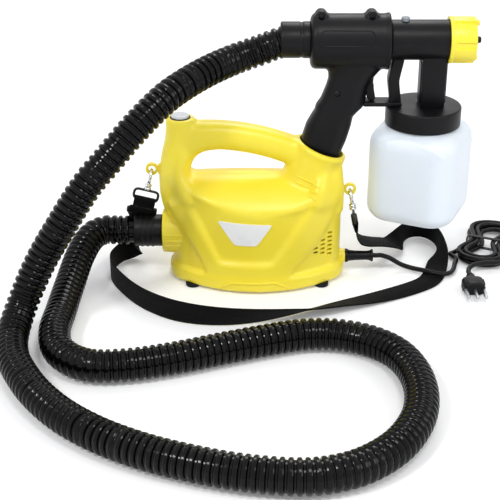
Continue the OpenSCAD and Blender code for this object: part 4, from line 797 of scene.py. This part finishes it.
def band(bm, tree, root, stations, depth, rise):
    """A soft raised band, in front and behind: from root points down a skin through (x, z, width) stations."""
    route = smooth_route(stations, 6)
    hits = [tree.ray_cast(Vector((p.x * MM, -1, p.y * MM)), Vector((0, 1, 0)))[:2] for p in route]
    path = [hit / MM + normal * (rise - depth / 2) for hit, normal in hits]
    outs = [normal for hit, normal in hits]
    widths = [p.z for p in route]
    if root:
        start = smooth_route(root + [path[0], path[3]], 6)[:-6]
        path, outs = start[:-1] + path, [outs[0]] * (len(start) - 1) + outs
        widths = [widths[0]] * (len(start) - 1) + widths
    ahead = [b - a for a, b in zip(path[:1] + path, path[1:] + path[-1:])]
    wide = [step.cross(out) for step, out in zip(ahead, outs)]
    matrices = [m @ Matrix.Diagonal((w / 30, 1, 1, 1)) for m, w in zip(frames_along(path, wide=wide), widths)]
    for turn in (Matrix.Identity(4), Matrix.Diagonal((1, -1, 1, 1))):
        sweep(bm, rounded_outline(30, depth, 0.44 * depth), [turn @ m for m in matrices])


HOLSTER = Matrix.Translation((0.070, 0, 0.154)) @ Matrix.Rotation(radians(22), 4, "Y")
form = bmesh.new()
belly(form, 188, 112, 33)
outward(form)
belly_tree = BVHTree.FromBMesh(form)
band(form, belly_tree, [(-86, -4, 150), (-90, -9, 136), (-90.5, -13, 122)],
     [(-86, 106, 33), (-80, 88, 33), (-69, 69, 29), (-57, 47, 25), (-48, 29, 24), (-42, 17, 26)], 18, 5)
band(form, belly_tree, [(74, -12, 140), (77, -14, 126)],
     [(76, 106, 38), (72, 93, 40), (64, 79, 40), (51, 60, 38), (37, 42, 32), (25, 27, 30), (16, 17, 32)], 18, 5)
band(form, belly_tree, [], [(-56, 25, 24), (-30, 25.5, 24), (0, 26, 24), (34, 26, 24)], 18, 5)
upright(form, oval_outline(198, 120, 38), [(3, 0, 0, 1, 1), (15, 0, 0, 1, 1), (19, 0, 0, 0.985, 0.98)])
column = [(-80, 0, 58), (-84, 0, 72), (-88.5, 0, 88), (-91, 0, 104), (-91, 0, 124), (-87.5, 0, 146), (-84.5, 0, 164), (-83.5, 0, 176), (-83.5, 0, 187)]
deep = [28, 32, 38, 40, 42, 37, 33, 32, 32]
sweep(form, rounded_outline(1, 1, 0.46, 8),
      [Matrix.Translation(Vector(p) * MM) @ Matrix.Diagonal((35 if p[2] < 160 else 32, d, 1, 1))
       for p, d in zip(column, deep)])
upright(form, rounded_outline(44, 48, 15), [(80, 74, 0, 1, 1), (110, 74, 0, 1, 1), (126, 73, 0, 0.97, 0.92),
                                            (144, 72, 0, 0.9, 0.7)])
handle_path = [Vector((-54 + 240 * cos(radians(a)), 0, -72.5 + 240 * sin(radians(a)))) for a in range(98, 58, -2)]
bend_path = smooth_route([(-90, 0, 104), (-89.5, 0, 122), (-86, 0, 140), (-77, 0, 155), (-62, 0, 164), (-44, 0, 167)], 6)
for path in (handle_path, bend_path):
    sweep(form, rounded_outline(32, 31, 13), frames_along(path, wide=[Vector((0, 1, 0))] * len(path)))
lathe(form, [(0, -90), (28.5, -90), (28.5, 0), (0, 0)], HOLSTER, 48, 1)
lathe(form, [(0, -6), (30, -6), (30.3, -3), (29.8, 0), (0, 0)], HOLSTER, 48, 1)
lathe(form, [(0, -106), (24, -106), (24, -70), (0, -70)], Matrix.Rotation(pi / 2, 4, "Y")
      @ Matrix.Translation((-0.052, 0, 0)), 48, 1)
outward(form)
print("housing form:", len(form.faces), "faces in overlapping solids")

# %% [markdown]
# The holes are cut after the skin is relaxed, so their edges stay crisp: the
# holster's bore, the switch, the hose outlet, the vents and the screws.

# %% Housing holes and halves
SCREWS = [(-89, 112), (84, 92), (-82, 22), (88, 46), (-20, 165.1)]
holes = bmesh.new()
lathe(holes, [(0, -44), (25.5, -44), (25.5, 20), (0, 20)], HOLSTER, 64, 0.1)
lathe(holes, [(0, 176), (11.2, 176), (11.2, 196), (0, 196)], axis_z(-83.5, 0, 0), 40, 0.1)
lathe(holes, [(0, 0), (17.2, 0), (17.2, 60), (0, 60)], axis_x(-120, 52), 48, 0.1)
for x, z in SCREWS:
    lathe(holes, [(0, -80), (3.5, -80), (3.5, -9.2), (0, -9.2)], axis_y(x, 0, z), 20, 0.1)
for i, (rows, low) in enumerate(((2, 41), (4, 38), (6, 35))):
    for k in range(rows):
        for turn in (1, -1):
            x, z = 64.5 + 8 * i, low + 5.2 * k
            slab(holes, eased([(x - 2.6, z - 1.3), (x + 2.6, z - 1.3), (x + 2.6, z + 1.3), (x - 2.6, z + 1.3)], 1),
                 Matrix.Diagonal((1, turn, 1, 1)) @ front_view(-20), 60, 0)
skin = moulded(form, holes, 1.7, 12)
skin_tree = BVHTree.FromBMesh(skin)
front_half, rear_half = halves(skin, 0.5)
housing_front = piece("housing_shell_front", front_half, "blower", yellow_abs)
housing_rear = piece("housing_shell_rear", rear_half, "blower", yellow_abs)
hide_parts("housing_front")
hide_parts("housing_rear")

# %% [markdown]
# Small mouldings sit on the shell: the ridged collar round the hose outlet, the
# boss of the mains lead, the two lugs for the strap, three ridges on the holster
# and a thin line on the base.

# %% Mouldings on the housing
bm = bmesh.new()
lathe(bm, [(17.2, -106), (23.8, -106), (24.5, -105), (24.5, -78), (17.2, -78)], axis_x(0, 52), 64, 0.5, closed=True)
for k in range(5):
    a = radians(170 + 16 * k)
    y, z = 24 * cos(a), 52 + 24 * sin(a)
    sweep(bm, ring_outline(1.5, 12), frames_along([Vector((x, y, z)) for x in (-104, -92, -80)], [0.6, 1, 0.6]))
lathe(bm, [(6.2, 80), (8.6, 80), (8, 99), (7.6, 100), (6.2, 100)], axis_x(0, 20), 40, 0.5, closed=True)
for side, reach in (("left", 16), ("right", -16)):
    x, z, lean = lugs[side]
    lathe(bm, [(4, -2.5), (7, -2.5), (7, 2.5), (4, 2.5)], axis_y(x, 0, z), 40, 0.7, closed=True)
    root = [(x + reach * 0.42, z - 5.5), (x + reach, z - 9), (x + reach, z + 9), (x + reach * 0.42, z + 5.5)]
    slab(bm, root, front_view(2.5), 5, 0.7)
for k in range(3):
    surface_line(bm, skin_tree, straight((43 - 0.8 * k, 128.5 - 6.6 * k), (68.5 - 2.5 * k, 119 - 5.7 * k), 30), 1.2,
                 sink=0.4)
recess = eased([(-41, 7), (-28.7, 14.2), (20.4, 15), (32.7, 8)], 3, closed=False)
trim = [p for a, b in zip(recess, recess[1:]) for p in straight(a, b, 8)[:-1]] + [recess[-1]]
surface_line(bm, skin_tree, trim, 1.4)
piece("housing_mouldings", bm, "blower", yellow_abs)

# %% [markdown]
# The white film on the front is bare here. It is cut from a flat outline, sliced
# into narrow strips so that it can bend, and laid onto the belly.

# %% Front film
bm = bmesh.new()
film = eased([(-43.7, 85), (16.4, 82.7), (-0.7, 57.8), (-25, 57.8)], 3)
bm.faces.new([bm.verts.new(Vector((p.x, 0, p.y)) * MM) for p in film])
for x in range(-42, 17, 3):
    bmesh.ops.bisect_plane(bm, geom=bm.verts[:] + bm.edges[:] + bm.faces[:], plane_co=(x * MM, 0, 0), plane_no=(1, 0, 0))
for z in range(60, 86, 4):
    bmesh.ops.bisect_plane(bm, geom=bm.verts[:] + bm.edges[:] + bm.faces[:], plane_co=(0, 0, z * MM), plane_no=(0, 0, 1))
for v in bm.verts:
    v.co.y = skin_tree.ray_cast(Vector((v.co.x, -1, v.co.z)), Vector((0, 1, 0)))[0].y - 0.0001
made = bmesh.ops.extrude_face_region(bm, geom=bm.faces[:])["geom"]
bmesh.ops.translate(bm, vec=(0, -0.0006, 0), verts=[g for g in made if isinstance(g, bmesh.types.BMVert)])
film = piece("front_film", bm, "blower", white_film)
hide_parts("front_plate")

# %% [markdown]
# ## Switch, feet, relief, cuffs and screws
# These are turned or round moulded pieces, so each is one lathe profile of
# (radius, height). Screw heads have a drive hole sunk in the middle.

# %% Round pieces of the blower
bm = bmesh.new()
lathe(bm, [(9.9, 176), (11, 176), (11, 187.2), (10.7, 188), (9.9, 187.8)],
      axis_z(-83.5, 0, 0), 64, 0.6, closed=True)
bezel = piece("switch_ring", bm, "blower", black_abs)
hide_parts("switch_bezel")
bm = bmesh.new()
lathe(bm, [(0, 184), (9.7, 184), (9.7, 189), (8.8, 190.2), (5, 190.5), (0, 190.2)], axis_z(-83.5, 0, 0), 48, 0.6)
button = piece("switch_cap", bm, "switch_button", silver_button)
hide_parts("switch_button")
bm = bmesh.new()
for x in (-72, 72):
    for y in (-34, 34):
        lathe(bm, [(0, 0.6), (4, 0.6), (4, 0), (7, 0), (8, 1), (8, 4.4), (0, 4.4)], axis_z(x, y, 0), 32, 0.5)
feet = piece("rubber_foot_pads", bm, "blower", foot_rubber)
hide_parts("rubber_feet")
bm = bmesh.new()
lathe(bm, [(2.8, 91), (6, 91), (6, 100.2), (7.9, 100.2), (7.9, 103), (6.4, 104.4), (5.6, 112), (5.2, 124), (5.6, 128),
           (7.2, 130.4), (7.2, 132), (2.8, 132)], axis_x(0, 20), 40, 0.8, closed=True)
relief = piece("cable_strain_relief", bm, "blower", lead_pvc)
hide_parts("strain_relief")
bm = bmesh.new()
rings = [(11.6, -138), (17, -138), (18, -137)]
for k in range(3):
    x = -131 + 6 * k
    rings += [(18, x), (18.7, x + 0.8), (18.7, x + 2.2), (18, x + 3)]
lathe(bm, rings + [(18, -107), (11.6, -107)], axis_x(0, 52), 56, 0.5, closed=True)
cuff = piece("hose_end_blower", bm, "blower", black_abs)
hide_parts("hose_cuff_blower")
bm = bmesh.new()
lathe(bm, [(11.6, 24), (18, 24), (19, 25.5), (19, 44), (18.4, 45), (18.4, 47), (19.2, 48), (19.2, 54.8), (11.6, 54.8)],
      axis_x(0, 273), 56, 0.6, closed=True)
cuff = piece("hose_end_gun", bm, "gun", black_abs)
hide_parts("hose_cuff_gun")


def screw_head(bm, matrix, r):
    lathe(bm, [(0, -6), (r * 0.45, -6), (r * 0.45, -2), (r, -2), (r, -0.6), (r * 0.8, 0), (r * 0.36, 0), (r * 0.3, -1.4),
               (0, -1.4)], matrix, 24, 0.3)


bm = bmesh.new()
for x, z in SCREWS:
    screw_head(bm, Matrix.Translation(Vector((x, 11.6, z)) * MM) @ Matrix.Rotation(-pi / 2, 4, "X"), 3.3)
screws = piece("housing_screw_heads", bm, "blower", steel)
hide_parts("housing_screws")

# %% [markdown]
# ## Spray gun
# The gun's body is a fat tube, slightly taller than wide, that flows into a
# leaning grip. Two screw ears stand on top. It is moulded like the housing, from
# level sections that follow the grip's outline.

# %% Gun shell
form = bmesh.new()
body = bmesh.new()
lathe(body, [(0, 55), (21, 55), (25, 57), (26, 60), (26, 134), (27, 135.5), (27, 138.6), (0, 138.6)], axis_x(0, 0), 56, 1)
bmesh.ops.transform(body, matrix=Matrix.Translation((0, 0, 0.2715)) @ Matrix.Diagonal((1, 1, 1.12, 1)),
                    verts=body.verts)
spare = bpy.data.meshes.new("spare")
body.to_mesh(spare)
body.free()
form.from_mesh(spare)
bpy.data.meshes.remove(spare)
grip = [(113.6, 53.7, 23, 17.4), (140, 64.4, 23.4, 17.8), (163, 72.2, 24.4, 18), (180, 77, 24.2, 18),
        (190, 80.5, 22.3, 17.5), (196, 85, 23.2, 17.2), (201, 88, 25.5, 16.6), (208, 91.7, 24.3, 16.6),
        (216, 93.5, 23, 16.4), (224, 95.7, 22.3, 16), (232, 98.8, 23.4, 15.6), (240, 101.5, 27, 16), (250, 102, 36, 17),
        (262, 100, 38, 19)]
upright(form, [p * 0.5 for p in rounded_outline(2, 2, 0.8, 8)], [(z, x, 0, 2 * a, 2 * b) for z, x, a, b in grip])
for x in (66, 118.5):
    lathe(form, [(0, -8), (6.5, -8), (6.5, 8), (0, 8)], axis_y(x, 0, 299), 32, 0.5)
outward(form)
GUN_SCREWS = [(66, 300, 5), (118.5, 300, 5), (84.2, 218.9, 13)]
holes = bmesh.new()
for x, z, y in GUN_SCREWS:
    for turn in (1, -1):
        lathe(holes, [(0, y), (3.2, y), (3.2, 40), (0, 40)], axis_y(x, 0, z) @ Matrix.Rotation(0 if turn > 0 else pi, 4, "X"),
              20, 0.1)
slab(holes, [(106, 203.5), (116, 203.5), (134, 232), (134, 262), (106, 262)], front_view(6.2), 12.4, 0)
skin = moulded(form, holes, 1.2, 6)
gun_tree = BVHTree.FromBMesh(skin)
front_half, rear_half = halves(skin, 0.4)
gun_front = piece("gun_shell_left", front_half, "gun", black_abs)
gun_rear = piece("gun_shell_right", rear_half, "gun", black_abs)
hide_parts("gun_shell_front")
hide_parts("gun_shell_rear")
bm = bmesh.new()
stadium = [Vector((92.5 + (22 if abs(a) < 90 else -22) + 7 * cos(radians(a)), 281 + 7.6 * sin(radians(a))))
           for a in list(range(-89, 90, 15)) + list(range(91, 270, 15))]
stadium = [p for a, b in zip(stadium, stadium[1:] + stadium[:1]) for p in straight(a, b, 3)[:-1]]
for side in (-1, 1):
    surface_line(bm, gun_tree, stadium + stadium[:1], 0.5, side)
piece("gun_side_line", bm, "gun", black_abs)
bm = bmesh.new()
for x, z, y in GUN_SCREWS:
    screw_head(bm, axis_y(x, -y - 2.2, z), 3)
    screw_head(bm, Matrix.Translation(Vector((x, y + 2.2, z)) * MM) @ Matrix.Rotation(-pi / 2, 4, "X"), 3)
screws = piece("gun_screw_heads", bm, "gun", blacked)
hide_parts("gun_screws")

# %% [markdown]
# In front of the body sit the barrel with its square feed column, the finger
# guard with a bent strut, the trigger and its small bright screw.

# %% Barrel, guard and trigger
bm = bmesh.new()
lathe(bm, [(17, 139.2), (20.6, 139.2), (21, 140), (21, 201), (20.4, 203), (17, 203)], axis_x(0, 273), 64, 0.6, closed=True)
lathe(bm, [(2.4, 134), (7, 134), (7, 200), (2.4, 200)], axis_x(0, 273), 32, 0.4, closed=True)
slab(bm, eased([(-13, -13), (13, -13), (13, 13), (-13, 13)], 3), axis_z(186, 0, 202), 56, 0.4)
for x, depth in ((172.6, 1.2), (199.4, 1.2)):
    slab(bm, eased([(-9, -22), (9, -22), (9, 22), (-9, 22)], 2),
         axis_x(x, 228) @ Matrix.Rotation(pi / 2, 4, "Z") @ Matrix.Translation((0, 0, -0.0006)), depth, 0.3)
barrel = piece("gun_barrel", bm, "gun", black_abs)
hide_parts("front_barrel")
bm = bmesh.new()
slab(bm, eased([(112.8, 202.3), (154, 202.3), (154, 206.7), (112.8, 206.7)], 1.5), front_view(10), 20, 0.8)
slab(bm, eased([(142, 202.3), (154, 202.3), (150, 230), (155, 256), (143, 256), (138, 230)], 4), front_view(8), 16, 1.2)
guard = piece("finger_guard", bm, "gun", black_abs)
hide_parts("trigger_guard")
bm = bmesh.new()
slab(bm, eased([(117.5, 284), (126.5, 284), (126.5, 253), (122.5, 228), (126.5, 207.2), (117.5, 207.2), (113.5, 228),
                (117.5, 253)], 4), front_view(5.5), 11, 1.6)
trigger = piece("trigger_blade", bm, "trigger", black_abs)
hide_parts("trigger")
bm = bmesh.new()
lathe(bm, [(0, 107), (2.4, 107), (2.4, 120.4), (3.4, 120.4), (3.5, 121.2), (3.5, 123.2), (3, 124), (0, 124)],
      axis_x(0, 222), 24, 0.3)
for k in range(12):
    a = 2 * pi * k / 12
    sweep(bm, ring_outline(0.35, 6), frames_along([Vector((120.8, 3.4 * cos(a), 222 + 3.4 * sin(a))),
                                                   Vector((123.6, 3.4 * cos(a), 222 + 3.4 * sin(a)))]))
knob = piece("flow_screw_knurled", bm, "flow_screw", chrome)
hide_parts("flow_screw")
bm = bmesh.new()
lathe(bm, [(0, 290), (4.5, 290), (4.5, 296.4), (3.6, 297.6), (0, 298)], axis_z(154, 0, 0), 32, 0.5)
release = piece("release_cap", bm, "release_button", grey_abs)
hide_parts("release_button")

# %% [markdown]
# The yellow air cap turns by hand, so six broad lobes stand on it between a rear
# rim and the face. Two small horns stand above and below the black nozzle.

# %% Air cap and nozzle
bm = bmesh.new()
lathe(bm, [(21.4, 199.6), (24.5, 199.6), (24.8, 200.6), (24.6, 203), (22.8, 206), (22.2, 221), (21.6, 226), (20.4, 227.4),
           (16, 227.4), (15.4, 225.4), (7.4, 225), (7.4, 220), (21.4, 206)], axis_x(0, 273), 72, 0.7, closed=True)
for k in range(6):
    turns = [radians(60 * k + a) for a in range(-22, 23, 4)]
    lobe = [Vector((r * cos(a), r * sin(a))) for r, row in ((24.2, turns), (20.8, turns[::-1])) for a in row]
    slab(bm, lobe, axis_x(202, 273), 24.6, 0.7)
for side in (-1, 1):
    slab(bm, eased([(-2.5, -4.5), (2.5, -4.5), (2.5, 4.5), (-2.5, 4.5)], 1.4),
         axis_x(224.5, 273 + 18.5 * side), 6.5, 0.8)
cap = piece("air_cap_grip", bm, "air_cap", yellow_abs)
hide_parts("air_cap")
bm = bmesh.new()
lathe(bm, [(2.4, 200), (6, 200), (6, 226), (5, 226.4), (3, 234), (1.3, 234), (1.2, 226)], axis_x(0, 273), 40, 0.4, closed=True)
nozzle = piece("nozzle_tip", bm, "gun", black_abs)
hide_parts("fluid_nozzle")

# %% [markdown]
# ## Lid and cup
# The lid is a plain turned ring. The cup is blown polyethylene: a
# block with round corners and round shoulders that lets some light through. A
# raised arch runs over its front.

# %% Lid
bm = bmesh.new()
lathe(bm, [(4.2, 198.2), (37.2, 198.2), (37.6, 181), (40.2, 181), (40.6, 182), (40.6, 200.4), (39.6, 201.8), (4.2, 202)],
      axis_z(178.5, 0, 0), 96, 0.7, closed=True)
lid = piece("cup_lid_ring", bm, "gun", black_abs)
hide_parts("cup_lid")

# %% Cup
bm = bmesh.new()
bmesh.ops.create_cube(bm, size=1, matrix=Matrix.Translation((0, 0, 0.127)) @ Matrix.Diagonal((0.1, 0.1, 0.106, 1)))
posts = [e for e in bm.edges if abs(e.verts[0].co.z - e.verts[1].co.z) > 0.01]
bmesh.ops.bevel(bm, geom=posts, offset=0.028, offset_type="OFFSET", segments=10, profile=0.5, affect="EDGES", material=-1)
rims = [e for e in bm.edges if e.calc_face_angle(0) > 1 and abs(e.verts[0].co.z - e.verts[1].co.z) < 1e-4]
bmesh.ops.bevel(bm, geom=rims, offset=0.018, offset_type="OFFSET", segments=8, profile=0.5, affect="EDGES", material=-1)
bmesh.ops.rotate(bm, cent=(0, 0, 0), matrix=Matrix.Rotation(radians(-24), 3, "Z"), verts=bm.verts)
bmesh.ops.translate(bm, vec=(0.1785, 0, 0), verts=bm.verts)
lathe(bm, [(0, 176), (37, 176), (37, 195), (0, 195)], axis_z(178.5, 0, 0), 64, 0.6)
cup_tree = BVHTree.FromBMesh(bm)
arch = smooth_route([(135.4, 168, 0), (140.9, 171.3, 0), (147.9, 173.7, 0), (156, 174.8, 0), (166.2, 174, 0), (177.6, 170.7, 0),
                     (187, 166.3, 0), (196, 160.5, 0)], 6)
surface_line(bm, cup_tree, [p.xy for p in arch], 3.6, sink=2.4)
bm = skinned(bm, 1.4, 6)
cup = piece("cup_bottle", bm, "cup", bottle_hdpe, 50)
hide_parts("cup")

# %% [markdown]
# ## Pieces kept from the solid model
# Motor, fan, needle and tubes are hidden inside. They keep their solids and only
# get the finish of their real material.

# %% Finishes of kept pieces
finish_of = {"yellow_abs": yellow_abs, "black_abs": black_abs, "rubber": foot_rubber, "plate": white_film,
             "button": silver_button, "release": grey_abs, "can": zinc, "cast": zinc, "core": iron, "steel": steel,
             "chrome": chrome, "copper": copper, "brass": brass, "carbon": carbon, "foam": foam, "fan": nylon_white,
             "hose": hose_pvc, "cable": lead_pvc, "webbing": webbing, "cup": bottle_hdpe, "tube": tube_ldpe}
slot_of = {part["node"]: part["material_slot"] for part in frame["record"]["subparts"]}
for name, obj in frame["nodes"].items():
    finish = finish_of[slot_of[name]]
    if obj.material_slots:
        for place in obj.material_slots:
            place.material = finish
    else:
        obj.data.materials.append(finish)
print("kept solids with a finish:", len(frame["nodes"]))

# %% [markdown]
# ## Studio
# The picture was taken on white. A wide pale floor keeps a soft shadow, the sky
# is plain white to the camera and to reflections, and four large lamps give the
# long highlights on the hose and the gun.

# %% Floor, sky and lamps
bm = bmesh.new()
bmesh.ops.create_grid(bm, x_segments=1, y_segments=1, size=6)
mesh = bpy.data.meshes.new("floor")
bm.to_mesh(mesh)
bm.free()
floor = bpy.data.objects.new("floor", mesh)
scene.collection.objects.link(floor)
paper = grained("white_paper", "#f8f8f8", "#fbfbfb", (0.8, 0.9), 1.0, 0.005, 80, IOR=1.45)
mesh.materials.append(paper)


def plain_rays(tree):
    """1 for rays that look at the background: from the camera, through glass or off a gloss."""
    rays = add_node(tree, "ShaderNodeLightPath")
    clear = add_node(tree, "ShaderNodeMath", {"operation": "MAXIMUM"},
                     {0: rays.outputs["Is Camera Ray"], 1: rays.outputs["Is Transmission Ray"]})
    return add_node(tree, "ShaderNodeMath", {"operation": "MAXIMUM"},
                    {0: clear.outputs[0], 1: rays.outputs["Is Glossy Ray"]}).outputs[0]


shader = next(n for n in paper.node_tree.nodes if n.type == "BSDF_PRINCIPLED")
shader.inputs["Emission Color"].default_value = (1, 1, 1, 1)
lift = add_node(paper.node_tree, "ShaderNodeMath", {"operation": "MULTIPLY", 1: 0.14}, {0: plain_rays(paper.node_tree)})
paper.node_tree.links.new(lift.outputs[0], shader.inputs["Emission Strength"])
world = bpy.data.worlds.new("studio")
scene.world = world
world.use_nodes = True
tree = world.node_tree
tree.nodes.clear()
dim = add_node(tree, "ShaderNodeBackground", {"Color": linear("#f6f7fa"), "Strength": 0.6})
white = add_node(tree, "ShaderNodeBackground", {"Color": (1, 1, 1, 1), "Strength": 1.0})
mixed = add_node(tree, "ShaderNodeMixShader", None, {0: plain_rays(tree), 1: dim.outputs[0], 2: white.outputs[0]})
add_node(tree, "ShaderNodeOutputWorld", None, {"Surface": mixed.outputs[0]})
for name, spot, target, size, power in (
        ("key", (-0.9, -1.1, 1.5), (0, -0.1, 0.1), 0.28, 11.4), ("front", (0.2, -0.8, 1.3), (0.1, 0, 0.2), 0.35, 4.7),
        ("fill", (1.3, -0.9, 1.0), (0, 0, 0.1), 0.7, 5.6),
        ("back", (0.2, 1.2, 1.5), (0, 0, 0.15), 0.7, 9)):
    lamp = bpy.data.objects.new(name, bpy.data.lights.new(name, "AREA"))
    lamp.data.size, lamp.data.energy = size, power
    lamp.location = spot
    lamp.rotation_euler = (Vector(target) - Vector(spot)).to_track_quat("-Z", "Y").to_euler()
    scene.collection.objects.link(lamp)
